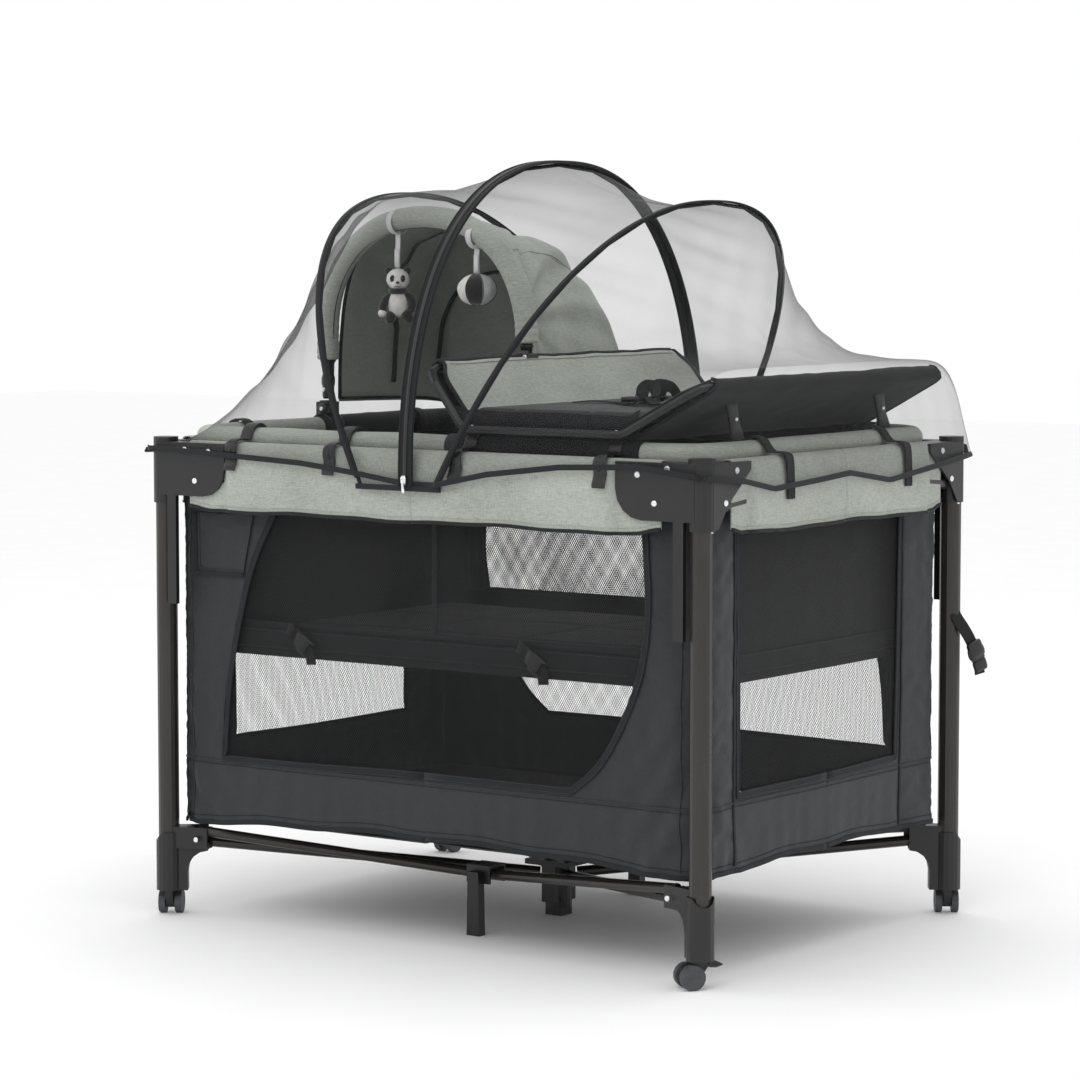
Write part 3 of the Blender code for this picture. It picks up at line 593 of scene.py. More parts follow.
def wall(side, u, z, off=0.0):
    """A point on a fabric wall. Folds are deepest beside the legs and along the skirt."""
    U, d, world, line, _, _ = SIDES[side]
    s = abs(u) / U
    d = d - 0.0095 * step(0.93, 1.0, s)
    n = 0.0
    seed = {"front": 3.1, "rear": 7.7, "right": 12.4, "left": 21.9}[side]
    solid = 1.0 if not inside(line, u, z) else 0.0
    edge = step(0.60, 0.97, s)
    low = step(0.29, 0.16, z)
    # slow billow, then hanging folds, then small creases
    n += 0.0035 * wob((u * 1.0, seed, z * 0.6), 6.0)
    n += solid * (0.0030 * edge + 0.0024 * low) * wob((u * 2.2, seed + 5, z * 0.55), 17.0)
    n += solid * (0.0013 * edge + 0.0008) * wob((u * 1.0, seed + 9, z * 2.4), 38.0)
    if U < 0.4:      # elastic strips beside the legs, gathered into level puckers
        for lo, hi in ((-0.335, -0.252), (0.226, 0.338)):
            if lo < u < hi and z < 0.69:
                m = math.sin(PI * (u - lo) / (hi - lo))
                w = math.sin(z * 118 + 2.6 * wob((u * 1.4, seed, z), 20.0) + u * 26)
                n += 0.0052 * m ** 0.8 * (0.5 + 0.5 * w) * (0.6 + 0.5 * wob((1, seed, z), 14.0)) + 0.002 * m
    else:            # diagonal drag lines from the lower corners
        n += solid * 0.0022 * step(0.50, 0.24, z) * edge * math.sin(95 * (z * 0.8 + (U - abs(u))) + 3 * wob((u, seed, z), 9.0))
    return world(u, d + max(min(n, 0.009), -0.008) + off, z)


def wall_sheets(side):
    U, d, world, line, along, legs = SIDES[side]
    nu = 78 if U > 0.4 else 60
    nv = 96
    for half in (0, 1):
        lo, hi = (-U, 0.0) if half == 0 else (0.0, U)
        leg = legs[half]
        tag = side + "_" + leg

        def uz(a, b):
            u = lo + (hi - lo) * a
            z0 = hem(side, u)
            return u, z0 + (WALL_TOP - z0) * b

        cloth_part, mesh_part = Geo(), Geo()
        cloth_part.patch(nu, nv, lambda a, b: wall(side, *uz(a, b)), M["panel"], keep=lambda a, b: not inside(line, *uz(a, b)))
        mesh_part.patch(nu // 2, nv // 2, lambda a, b: wall(side, *uz(a, b), off=-0.0010), M["mesh_" + along],
                        keep=lambda a, b: inside(line, *uz(a, b)))
        for k in range(len(cloth_part.f)):
            c = sum(cloth_part.v[i][2] for i in cloth_part.f[k]) / 4
            if c < 0.256:
                cloth_part.m[k] = cloth_part.slot(M["skirt"])
        panel = fold(cloth_part.build("yard_panel_" + tag, slot="charcoal_cloth"), leg, along)
        window = fold(mesh_part.build("yard_window_" + tag, slot="net_black"), leg, along)
        min(0.999 * (hi - lo) * (WALL_TOP - 0.148), max(0.302 * (hi - lo) * (WALL_TOP - 0.148), cloth_part.area() * 0.97))
        zs = [p[2] for p in mesh_part.v]
        w_h = (max(zs) - min(zs))
        xs = [p[0 if along == "x" else 1] for p in mesh_part.v]
        w_w = max(xs) - min(xs)
        min(0.999 * w_w * w_h, mesh_part.area())
        if panel.name in ("yard_panel_rear_rl",):
            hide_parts("yard_fabric")
        # bindings, welts and stitch lines of this half
        g = Geo()
        pts = [(u, z) for u, z in line if (u <= 0.0005 if half == 0 else u >= -0.0005)]
        if pts:
            if half == 0 and pts[-1][0] < -0.0005:
                pts.append((0.0, 0.262))
            if half == 1 and pts[0][0] > 0.0005:
                pts.insert(0, (0.0, 0.262))
            path = [wall(side, u, z, 0.0016) for u, z in pts]
            out = (world(0, 1, 0) - world(0, 0, 0)).normalized()
            g.sweep(path, flat_prof(0.0115, 0.0022), M["binding"], ref=out)
            for d_off in (-0.0040, 0.0040):    # two rows of stitching on the tape
                cx = sum(p[0] for p in pts) / len(pts)
                row = []
                for i, (u, z) in enumerate(pts):
                    a, b = pts[max(i - 1, 0)], pts[min(i + 1, len(pts) - 1)]
                    t = V((b[0] - a[0], b[1] - a[1], 0)).normalized()
                    row.append(wall(side, u + t.y * d_off, z - t.x * d_off, 0.0029))
                g.sweep(row, round_prof(0.0005, 5), M["panel"], ref=out)
        us = [lo + (hi - lo) * i / 40 for i in range(41)]
        g.sweep([wall(side, u, hem(side, u) + 0.002, 0.0006) for u in us], flat_prof(0.0075, 0.0030), M["binding"], ref=out)
        seam_z = 0.252
        seam = [u for u in us if not inside(line, u, seam_z)]
        g.sweep([wall(side, u, seam_z, 0.0010) for u in seam], round_prof(0.0011, 6), M["panel"], ref=out)
        g.sweep([wall(side, u, seam_z - 0.006, 0.0006) for u in seam], round_prof(0.0005, 5), M["binding"], ref=out)
        g.sweep([wall(side, u, hem(side, u) + 0.013, 0.0006) for u in us], round_prof(0.0005, 5), M["binding"], ref=out)
        if U > 0.4:
            for uu in ((-0.463,) if half == 0 else (0.458,)):
                g.sweep([wall(side, uu, 0.16 + 0.0135 * k, 0.0010) for k in range(40)], round_prof(0.0010, 6), M["panel"], ref=out)
        else:
            for uu in ((-0.252,) if half == 0 else (0.226,)):
                g.sweep([wall(side, uu, 0.16 + 0.0135 * k, 0.0016) for k in range(40)], flat_prof(0.0060, 0.0016), M["binding"], ref=out)
        fold(g.build("yard_binding_" + tag, slot="charcoal_cloth"), leg, along)


for side in SIDES:
    wall_sheets(side)

# the zipped patch at the top of the front wall, with its tape and stitch lines
pg = Geo()
patch_line = [(-0.445, 0.644), (-0.445, 0.550), (-0.442, 0.542), (-0.352, 0.545)]
pg.patch(20, 20, lambda a, b: wall("front", -0.445 + a * (0.093 + 0.022 * b), 0.545 + 0.095 * b, 0.0030), M["panel"],
         keep=lambda a, b: not inside(LONG_LINE, -0.445 + a * (0.093 + 0.022 * b) + 0.006, 0.545 + 0.095 * b))
for row in ([(-0.447, 0.545 + 0.095 * k / 12) for k in range(13)], [(-0.447 + 0.098 * k / 14, 0.546) for k in range(15)]):
    pg.sweep([wall("front", u, z, 0.0044) for u, z in row], flat_prof(0.0060, 0.0020), M["binding"], ref=V((0, -1, 0)))
for row in ([(-0.439, 0.552 + 0.088 * k / 12) for k in range(13)], [(-0.439 + 0.086 * k / 14, 0.553) for k in range(15)]):
    pg.sweep([wall("front", u, z, 0.0040) for u, z in row], round_prof(0.0005, 5), M["mat"], ref=V((0, -1, 0)))
fold(pg.build("yard_zip_patch", slot="charcoal_cloth"), "fl", "x")

# floor pad of the yard: two strips beside each long wall and a middle strip over the hub
def pad_plan(x0, x1, y0, y1, z0, z1, name, quilting, mat, nx=40, ny=24, seed=0.0, crown=0.004, edge=0.010):
    """A padded slab with rounded edges and a sewn surface."""
    g = Geo()
    cx, cy = (x0 + x1) / 2, (y0 + y1) / 2
    hx, hy, hz = (x1 - x0) / 2, (y1 - y0) / 2, (z1 - z0) / 2

    def top(a, b, s):
        x, y = x0 + (x1 - x0) * a, y0 + (y1 - y0) * b
        dx, dy = hx - abs(x - cx), hy - abs(y - cy)
        e = min(dx, dy)
        rnd = math.sqrt(max(0.0, 1 - (1 - min(1.0, e / edge)) ** 2)) if edge else 1.0
        z = hz * rnd + crown * step(0, 0.08, e) * (0.7 + 0.6 * wob((x, y, seed + s), 7.0))
        z -= quilting(x, y) * rnd
        return V((x, y, (z0 + z1) / 2 + s * z))

    g.patch(nx, ny, lambda a, b: top(a, b, 1), mat)
    k = len(g.f)
    g.patch(nx, ny, lambda a, b: top(a, b, -1) if 0.5 else None, mat)
    g.f = g.f[:k] + [tuple(reversed(f)) for f in g.f[k:]]
    return g


def no_quilt(x, y):
    return 0.0


for leg, (sx, sy) in LEGS.items():
    xa, xb = sorted((0.0, sx * 0.474))
    ya, yb = sorted((sy * 0.190, sy * 0.338))
    o = fold(pad_plan(xa, xb, ya, yb, 0.1545, 0.1640, "", no_quilt, M["black"], 30, 12, edge=0.006, crown=0.001).build("yard_floor_" + leg, slot="charcoal_cloth"), leg, "x")
o = pad_plan(-0.474, 0.474, -0.1895, 0.1895, 0.1545, 0.1640, "", no_quilt, M["black"], 60, 24, edge=0.006, crown=0.001).build("yard_floor_middle", "hub", "charcoal_cloth")
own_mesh(o)

# ------------------------------------------------------------------ padded covers over the top rails
def rail_cover(name, rail, along, sign, lo, hi, plate, outer, inner):
    """The sewn sleeve over half a rail, with a dark piping on its lower edge. Section runs from the lower outside, over the top, to the inside."""
    sec = [(outer - 0.0015, 0.6470), (outer - 0.0002, 0.6600), (outer + 0.0015, 0.6800), (outer + 0.0020, 0.7000), (outer + 0.0015, 0.7200), (outer + 0.0002, 0.7370),
           (outer - 0.0035, 0.7480), (outer - 0.0120, 0.7530), (outer - 0.0220, 0.7530), (inner + 0.0040, 0.7490), (inner + 0.0008, 0.7380), (inner, 0.7200), (inner, 0.7040)]
    sec = [(p.x, p.y) for p in spline([(a, b, 0) for a, b in sec], 3)]
    nv = len(sec) - 1
    nu = 70

    def at(a, b):
        u = lo + (hi - lo) * a
        d, z = sec[min(nv, int(round(b * nv)))]
        tuck = step(plate - 0.010, plate + 0.006, abs(u))
        d = d - tuck * max(0.0, d - (outer - 0.0085)) if d > outer - 0.0085 else d
        w = 0.0016 * wob((u, sign * 3 + (along == "x") * 5, z * 1.5), 22.0) + 0.0010 * wob((u, 1, z), 60.0)
        lowline = (0.0022 * math.sin(u * 19 + sign) + 0.0012 * math.sin(u * 47)) * step(0.69, 0.65, z)
        tail = 0.006 * step(0.90, 1.0, abs(u) / max(abs(lo), abs(hi))) * step(0.70, 0.65, z)
        d += w * (1 - tuck)
        z += lowline * 0.6 + tail
        return V((u, sign * d, z)) if along == "x" else V((sign * d, u, z))

    g = Geo()
    g.patch(nu, nv, at, M["sage_pad"])
    cover = g.build("rail_cover_" + name, "rail_" + rail, "sage_cloth", thick=0.0018)
    flat_w = sum((V((sec[i + 1][0], sec[i + 1][1], 0)) - V((sec[i][0], sec[i][1], 0))).length for i in range(nv))
    trim = Geo()
    ways = V((0, sign, 0)) if along == "x" else V((sign, 0, 0))
    trim.sweep([at(i / nu, 0) + ways * 0.0006 for i in range(nu + 1)], round_prof(0.0027, 8), M["binding"], ref=ways)
    trim.sweep([at(i / nu, 2 / nv) + ways * 0.0004 for i in range(nu + 1)], round_prof(0.0005, 5), M["sage"], ref=ways)
    t = trim.build("rail_cover_trim_" + name, "rail_" + rail, "sage_cloth")


for leg, (sx, sy) in LEGS.items():
    lo, hi = sorted((0.0, sx * 0.440))
    rail_cover("long_" + leg, "long_" + leg, "x", sy, lo, hi, 0.362, 0.3808, 0.3500)
    lo, hi = sorted((0.0, sy * 0.302))
    rail_cover("short_" + leg, "short_" + leg, "y", sx, lo, hi, 0.2565, 0.5218, 0.4905)

# ------------------------------------------------------------------ bassinet
def rim_line(hx, hy, c, per=10, straight=24):
    """Points and outward ways round a rounded rectangle, starting at the middle of the front."""
    pts = []
    for k in range(4):
        sx, sy = ((1, -1), (1, 1), (-1, 1), (-1, -1))[k]
        cx, cy = sx * (hx - c), sy * (hy - c)
        a0 = (-PI / 2, 0, PI / 2, PI)[k]
        for i in range(per + 1):
            a = a0 + PI / 2 * i / per
            pts.append((V((cx + c * math.cos(a), cy + c * math.sin(a), 0)), V((math.cos(a), math.sin(a), 0))))
        nxt = ((1, 1), (-1, 1), (-1, -1), (1, -1))[k]
        p0, p1 = pts[-1][0], V((nxt[0] * (hx - c if k in (1, 3) else hx), nxt[1] * (hy if k in (1, 3) else hy - c), 0))
        for i in range(1, straight):
            pts.append((p0.lerp(p1, i / straight), pts[-1][1]))
    return pts


rim = rim_line(RIM_X, RIM_Y, RIM_C)
g = Geo()
ring = []
scales = []
for i, (p, w) in enumerate(rim):
    k = 1 + 0.035 * wob((p.x, p.y, 0.3), 16.0) + 0.02 * wob((p.x, p.y, 1.3), 60.0)
    scales.append((k * 1.02, k * 0.98))
    ring.append(V((p.x, p.y, RIM_Z + 0.0010 * wob((p.x, p.y, 4), 9.0))))
g.sweep(ring, round_prof(RIM_R, 20), M["sage_pad"], ref=UP, closed=True, scale=scales)
rim_obj = g.build("bassinet_rim_cover", "bassinet", "sage_cloth")
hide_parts("bassinet_rim")


def rim_at(s):
    """Point, outward way and direction at share s of the way round, from the front right corner, anticlockwise seen from above."""
    n = len(rim)
    f = (s % 1.0) * n
    i = int(f)
    a, b = rim[i % n], rim[(i + 1) % n]
    return a[0].lerp(b[0], f - i), a[1].lerp(b[1], f - i)


# welt under the rim, where the cloth walls are sewn on
g = Geo()
g.sweep([V((p.x, p.y, RIM_Z - 0.0165)) + w * 0.002 for p, w in rim], round_prof(0.0022, 8), M["binding"], ref=UP, closed=True)


def sleeve(cells, r, mat, seed):
    """A loose cover round part of the rim, with a turned edge at each end."""
    pts, sc = [], []
    for i, (p, w) in enumerate(cells):
        pts.append(V((p.x, p.y, RIM_Z)))
        e = min(i, len(cells) - 1 - i)
        k = 1 + 0.06 * wob((p.x, p.y, seed), 30.0) + (0.05 if e == 1 else 0.0)
        sc.append((k, k))
    g.sweep(pts, round_prof(r, 18), mat, ref=UP, scale=sc)


def along_rim(test):
    """The longest run of rim cells that pass the test."""
    n = len(rim)
    best, run = [], []
    for i in range(2 * n):
        if test(rim[i % n][0]):
            run.append(rim[i % n])
            if len(run) > len(best) and len(run) <= n:
                best = list(run)
        else:
            run = []
    return best


# the changer's side cover over the front and rear of the rim, and the black wrap at the hood's end
sleeve(along_rim(lambda p: 0.015 < p.x < 0.405 and p.y < 0), RIM_R + 0.0020, M["black"], 1.0)
sleeve(along_rim(lambda p: 0.015 < p.x < 0.405 and p.y > 0), RIM_R + 0.0020, M["black"], 2.0)
sleeve(along_rim(lambda p: p.x < -0.40 and p.y > -0.035), RIM_R + 0.0018, M["black"], 3.0)
g.build("bassinet_rim_trim", "bassinet", "charcoal_cloth")

LOW = 0.4205


def bas_floor(x, y):
    ex, ey = 1 - (x / RIM_X) ** 2, 1 - (y / RIM_Y) ** 2
    return LOW - 0.0015 * max(0, ex) * max(0, ey) + 0.0006 * wob((x, y, 2), 9.0)


wall_line = rim_line(RIM_X, RIM_Y, RIM_C, 10, 30)
N_W = len(wall_line)


def bas_wall(i, t, off=0.0):
    p, w = wall_line[i % N_W]
    z = LOW + (RIM_Z - 0.0165 - LOW) * t
    n = -0.0040 * math.sin(PI * t) + 0.0022 * wob((p.x, p.y, z * 0.5), 10.0) + 0.0014 * wob((p.x * 2, p.y * 2, z * 0.6), 26.0) - 0.0008
    return V((p.x, p.y, z)) + w * (min(n, 0.0010) + off)


def is_long(i):
    p, w = wall_line[int(i) % N_W]
    return abs(w.y) > 0.9 and abs(p.x) < 0.405


solid_wall, mesh_wall = Geo(), Geo()
solid_wall.patch(N_W, 28, lambda a, b: bas_wall(int(round(a * N_W)), b), M["black"], keep=lambda a, b: not (is_long(a * N_W) and 0.16 < b < 0.90))
mesh_wall.patch(N_W, 14, lambda a, b: bas_wall(int(round(a * N_W)), b, -0.0008), M["mesh_x"], keep=lambda a, b: is_long(a * N_W) and 0.13 < b < 0.93)
solid_wall.patch(40, 28, lambda a, b: V(((a * 2 - 1) * (RIM_X - 0.004), (b * 2 - 1) * (RIM_Y - 0.004), bas_floor((a * 2 - 1) * RIM_X, (b * 2 - 1) * RIM_Y))), M["black"],
                 keep=lambda a, b: not (abs(a - 0.5) > 0.457 and abs(b - 0.5) > 0.44))
bas_obj = solid_wall.build("bassinet_walls", "bassinet", "charcoal_cloth")
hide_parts("bassinet_fabric")
solid_wall.area() * 0.98
bas_mesh = mesh_wall.build("bassinet_mesh_sides", "bassinet", "net_black")
mesh_wall.area()

g = Geo()
# band of webbing round the lower edge, its seams, and bindings on the mesh
g.sweep([bas_wall(i, 0.085, 0.0016) for i in range(N_W)], [(x, y) for y, x in flat_prof(0.0024, 0.030)][::-1] if False else flat_prof(0.030, 0.0024), M["black"],
        ref=[wall_line[i][1] for i in range(N_W)], closed=True)
for t in (0.045, 0.125):
    g.sweep([bas_wall(i, t, 0.0031) for i in range(N_W)], round_prof(0.0005, 5), M["mat"], ref=UP, closed=True)
for sy in (-1, 1):
    cells = [i for i in range(N_W) if is_long(i) and wall_line[i][0].y * sy > 0]
    runs = sorted(cells, key=lambda i: wall_line[i][0].x)
    for t in (0.155, 0.905):
        g.sweep([bas_wall(i, t, 0.0008) for i in runs], flat_prof(0.008, 0.0020), M["binding"], ref=V((0, sy, 0)))
    for i in (runs[0], runs[-1], runs[len(runs) // 2]):
        g.sweep([bas_wall(i, 0.15 + 0.76 * k / 12, 0.0008) for k in range(13)], flat_prof(0.010, 0.0022), M["binding"], ref=V((0, sy, 0)))
# two side-release buckles on the front band, two on the rear
for bx, sy in ((-0.248, -1), (0.190, -1), (-0.248, 1), (0.190, 1)):
    y0 = sy * (RIM_Y + 0.0040)
    c = V((bx, y0, 0.447))
    out = V((0, sy, 0))
    g.sweep([c + V((-0.030, 0, 0.020)), c + V((-0.018, sy * 0.003, 0.015)), c + V((-0.010, sy * 0.005, 0.008))], flat_prof(0.020, 0.0030), M["webbing"], ref=out)
    g.sweep([c + V((-0.015, sy * 0.005, 0.012)), c + V((0.0, sy * 0.008, 0.002)), c + V((0.013, sy * 0.006, -0.009))], flat_prof(0.024, 0.0075, 16), M["plastic_gloss"], ref=out)
    for q in (-0.0105, 0.0105):
        g.sweep([c + V((0.000 - q * 0.6, sy * 0.009, 0.001 - q)), c + V((0.013 - q * 0.6, sy * 0.007, -0.009 - q)), c + V((0.020 - q * 0.6, sy * 0.005, -0.014 - q))],
                flat_prof(0.0045, 0.0045), M["plastic_gloss"], ref=out)
    g.sweep([c + V((0.012, sy * 0.006, -0.008)), c + V((0.018, sy * 0.005, -0.020)), c + V((0.019, sy * 0.004, -0.034))], flat_prof(0.019, 0.0022), M["webbing"], ref=out)
g.build("bassinet_webbing", "bassinet", "charcoal_cloth")


# the four hooks that hold the bassinet on each long rail
def hook(g, x, sy):
    prof = flat_prof(0.0225, 0.0034, 14)
    rows = [(0.3085, 0.7480), (0.3065, 0.7600), (0.3110, 0.7725), (0.3210, 0.7795), (0.3330, 0.7790), (0.3430, 0.7720), (0.3480, 0.7620), (0.3540, 0.7575),
            (0.3660, 0.7580), (0.3780, 0.7565), (0.3855, 0.7495), (0.3868, 0.7400), (0.3843, 0.7320), (0.3862, 0.7235), (0.3895, 0.7165), (0.3890, 0.7110)]
    path = [V((x, sy * p.x, p.y)) for p in spline([(a, b, 0) for a, b in rows], 5)]
    ref = []
    for i in range(len(path)):
        a, b = path[max(i - 1, 0)], path[min(i + 1, len(path) - 1)]
        t = b - a
        ref.append(V((0, t.z, -t.y)) * sy)
    n = len(path)
    sc = [(1.0 if i < n * 0.45 else (0.72 if i < n * 0.62 else 1.0), 1.0) for i in range(n)]
    g.sweep(path, prof, M["plastic_gloss"], ref=ref, scale=sc)
    for e in (-0.0095, 0.0095):    # ribs at both edges of the ring
        g.sweep([p + V((e, 0, 0)) + r.normalized() * 0.0016 for p, r in list(zip(path, ref))[2:26]], round_prof(0.0013, 6), M["plastic_gloss"])
    g.sweep([V((x, sy * 0.3872, 0.7475)), V((x, sy * 0.3890, 0.7410)), V((x, sy * 0.3872, 0.7350))], flat_prof(0.004, 0.0022), M["plastic"], ref=V((0, sy, 0)))


g = Geo()
for x in (-0.345, -0.152, 0.085, 0.343):
    for sy in (-1, 1):
        hook(g, x, sy)
g.build("bassinet_hooks", "bassinet", "black_plastic")


# straps over the short rims and their rail covers
def short_strap(g, y, sx, drop=0.690):
    rows = [(0.4470, 0.7450), (0.4460, 0.7600), (0.4530, 0.7745), (0.4670, 0.7795), (0.4810, 0.7750), (0.4890, 0.7640), (0.4960, 0.7575), (0.5100, 0.7570),
            (0.5220, 0.7540), (0.5265, 0.7450), (0.5275, 0.7250), (0.5272, 0.7050), (0.5268, drop)]
    path = [V((sx * p.x, y + 0.0015 * math.sin(k * 0.3), p.y)) for k, p in enumerate(spline([(a, b, 0) for a, b in rows], 4))]
    ref = []
    for i in range(len(path)):
        t = path[min(i + 1, len(path) - 1)] - path[max(i - 1, 0)]
        ref.append(V((t.z, 0, -t.x)) * -sx if sx > 0 else V((-t.z, 0, t.x)) * -1)
    g.sweep(path, flat_prof(0.022, 0.0022), M["webbing"], ref=ref)
    for e in (-0.0085, 0.0085):
        g.sweep([p + V((0, e, 0)) + V((sx * 0.0013, 0, 0.0006)) for p in path[8:]], round_prof(0.0005, 5), M["mat"])


g = Geo()
for y in (-0.164, 0.177):
    short_strap(g, y, 1)
for y in (-0.215, 0.235):
    short_strap(g, y, -1)
g.build("bassinet_straps", "bassinet", "charcoal_cloth")

# ------------------------------------------------------------------ mattress: a quilted pad
def quilt(x, y):
    """Sewn channels that run across the pad, and two along it."""
    d = 9.0
    for c in (-0.2275, 0.0, 0.2275):
        d = min(d, abs(x - c))
    for c in (-0.105, 0.105):
        d = min(d, abs(y - c))
    return 0.0042 * math.exp(-(d / 0.0055) ** 2)


g = pad_plan(-0.453, 0.453, -0.312, 0.312, 0.4240, 0.4455, "", quilt, M["mat"], 120, 84, edge=0.011, crown=0.0045, seed=2.0)
mat_obj = g.build("mattress_pad", "mattress", "charcoal_cloth")
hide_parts("mattress")
g = Geo()
g.sweep([V((p.x, p.y, 0.4350)) for p, w in rim_line(0.4535, 0.3125, 0.012, 4, 20)], round_prof(0.0026, 8), M["binding"], ref=UP, closed=True)
g.build("mattress_piping", "mattress", "charcoal_cloth")

# ------------------------------------------------------------------ changer
CH = [(0.003, 0.874), (0.075, 0.7855), (0.360, 0.7855), (0.490, 0.856)]
CH_IN = [(-0.0050, 0.8660), (-0.0052, 0.8750), (-0.0010, 0.8822), (0.0060, 0.8838), (0.0130, 0.8800), (0.0200, 0.8700), (0.0420, 0.8420), (0.0640, 0.8140), (0.0760, 0.8000), (0.0900, 0.7935),
         (0.1500, 0.7915), (0.2200, 0.7910), (0.2900, 0.7915), (0.3400, 0.7935), (0.3600, 0.7990), (0.4000, 0.8200), (0.4500, 0.8470), (0.4740, 0.8590), (0.4800, 0.8622), (0.4850, 0.8640)]
CH_OUT = [(-0.0048, 0.8680), (-0.0030, 0.8600), (0.0060, 0.8540), (0.0200, 0.8380), (0.0440, 0.8080), (0.0620, 0.7860), (0.0760, 0.7775), (0.1400, 0.7745), (0.2200, 0.7735), (0.3000, 0.7745),
          (0.3560, 0.7765), (0.3800, 0.7860), (0.4200, 0.8070), (0.4600, 0.8290), (0.4840, 0.8420), (0.4950, 0.8490), (0.4995, 0.8560), (0.4980, 0.8640), (0.4925, 0.8680), (0.4860, 0.8672)]


def section_at(rows):
    pts = spline([(a, b, 0) for a, b in rows], 6)
    acc = [0.0]
    for a, b in zip(pts, pts[1:]):
        acc.append(acc[-1] + (b - a).length)
    total = acc[-1]

    def at(t):
        s = t * total
        for i in range(1, len(acc)):
            if s <= acc[i] + 1e-9:
                f = (s - acc[i - 1]) / max(acc[i] - acc[i - 1], 1e-9)
                return pts[i - 1].lerp(pts[i], f)
        return pts[-1]
    return at, total


in_at, in_len = section_at(CH_IN)
out_at, out_len = section_at(CH_OUT)


def half_y(x, z):
    """Half length of the tray at a place in its section: the top corners are rounded off round the frame's bends."""
    high = step(0.845, 0.884, z) if x < 0.2 else step(0.835, 0.866, z)
    return 0.3330 - 0.020 * high ** 2


def tray(at, off, seed, a, b):
    p = at(a)
    y = (b * 2 - 1) * half_y(p.x, p.y)
    q = at(min(1.0, a + 0.004))
    t = V((q.x - p.x, q.y - p.y, 0))
    n = V((-t.y, t.x, 0)).normalized() if t.length > 1e-7 else V((0, 1, 0))
    s = abs(b * 2 - 1)
    on_wall = 1.0 if 0.02 < a < 0.30 or a > 0.66 else 0.3
    w = on_wall * (0.0030 * wob((a * 2, b * 2.6, seed), 3.2) + 0.0012 * wob((a * 9, b * 9, seed), 1.9)) * step(1.0, 0.85, s)
    bulge = 0.0035 * math.sin(PI * min(1, max(0, (a - 0.04) / 0.26))) * (1 - s ** 4)
    return V((p.x + n.x * (w + bulge + off), y, p.y + n.y * (w + bulge + off)))


g = Geo()
g.patch(90, 70, lambda a, b: tray(in_at, 0.0, 3.0, a, b), M["sage_pad"])
for k in range(len(g.f)):     # the tray's floor is the dark cloth, the far wall's inside the sage
    c = sum((V(g.v[i]) for i in g.f[k]), V((0, 0, 0))) / len(g.f[k])
    if 0.080 < c.x:
        g.m[k] = g.slot(M["mat"] if c.x < 0.362 else M["sage_pad"])
inner = g.build("changer_tray_inside", "changer", "sage_cloth")
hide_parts("changer_fabric")
g = Geo()
g.patch(80, 60, lambda a, b: tray(out_at, -0.0010, 8.0, a, b), M["black"])
outer = g.build("changer_tray_outside", "changer", "charcoal_cloth")

g = Geo()
for sy in (-1, 1):
    # bindings along the tray's two ends
    for at in (in_at, out_at):
        g.sweep([tray(at, 0.0006, 3.0 if at is in_at else 8.0, k / 60, (1 + sy) / 2) for k in range(61)], round_prof(0.0030, 8), M["binding"], ref=V((0, sy, 0)))
for a in (0.035, 0.925):
    g.sweep([tray(in_at, 0.0012, 3.0, a, k / 50) for k in range(51)], round_prof(0.0034, 8), M["binding"], ref=UP)
# stitch rows on the light wall
for a in (0.060, 0.285):
    g.sweep([tray(in_at, 0.0006, 3.0, a, 0.02 + 0.96 * k / 60) for k in range(61)], round_prof(0.0006, 5), M["lining"], ref=UP)
# the deep black border under the mat at both ends, which hides the frame's lower rods
for sy in (-1, 1):
    g.patch(60, 8, lambda a, b: V((0.052 + 0.330 * a, sy * (0.3395 + 0.0025 * wob((a * 5, b, sy), 1.8) + 0.0035 * math.sin(PI * b)),
                                   0.8130 - 0.0350 * b + 0.0018 * wob((a * 4, sy, 2), 1.6) + 0.010 * step(0.93, 1.0, a) + 0.006 * step(0.06, 0.0, a))), M["black"])
g.build("changer_bindings", "changer", "charcoal_cloth", thick=0.0)


def mat_quilt(x, y):
    d = min(abs(x - 0.150), abs(x - 0.285))
    e = min(abs(y + 0.16), abs(y), abs(y - 0.16))
    return 0.0022 * math.exp(-(d / 0.004) ** 2) + 0.0016 * math.exp(-(e / 0.004) ** 2)


g = pad_plan(0.078, 0.357, -0.330, 0.330, 0.7930, 0.8170, "", mat_quilt, M["mat"], 64, 110, edge=0.012, crown=0.0040, seed=5.0)
mat = g.build("changer_mat", "changer", "charcoal_cloth")
g = Geo()
g.sweep([V((0.2175 + p.x, p.y, 0.8060)) for p, w in rim_line(0.1400, 0.3305, 0.014, 4, 20)], round_prof(0.0028, 8), M["binding"], ref=UP, closed=True)


# harness: two webbing ends with loose loops, a buckle between them
def ribbon(pts, width, mat, thick=0.0018, per=7, ref=UP):
    path = spline(pts, per)
    g.sweep(path, flat_prof(width, thick), mat, ref=ref)


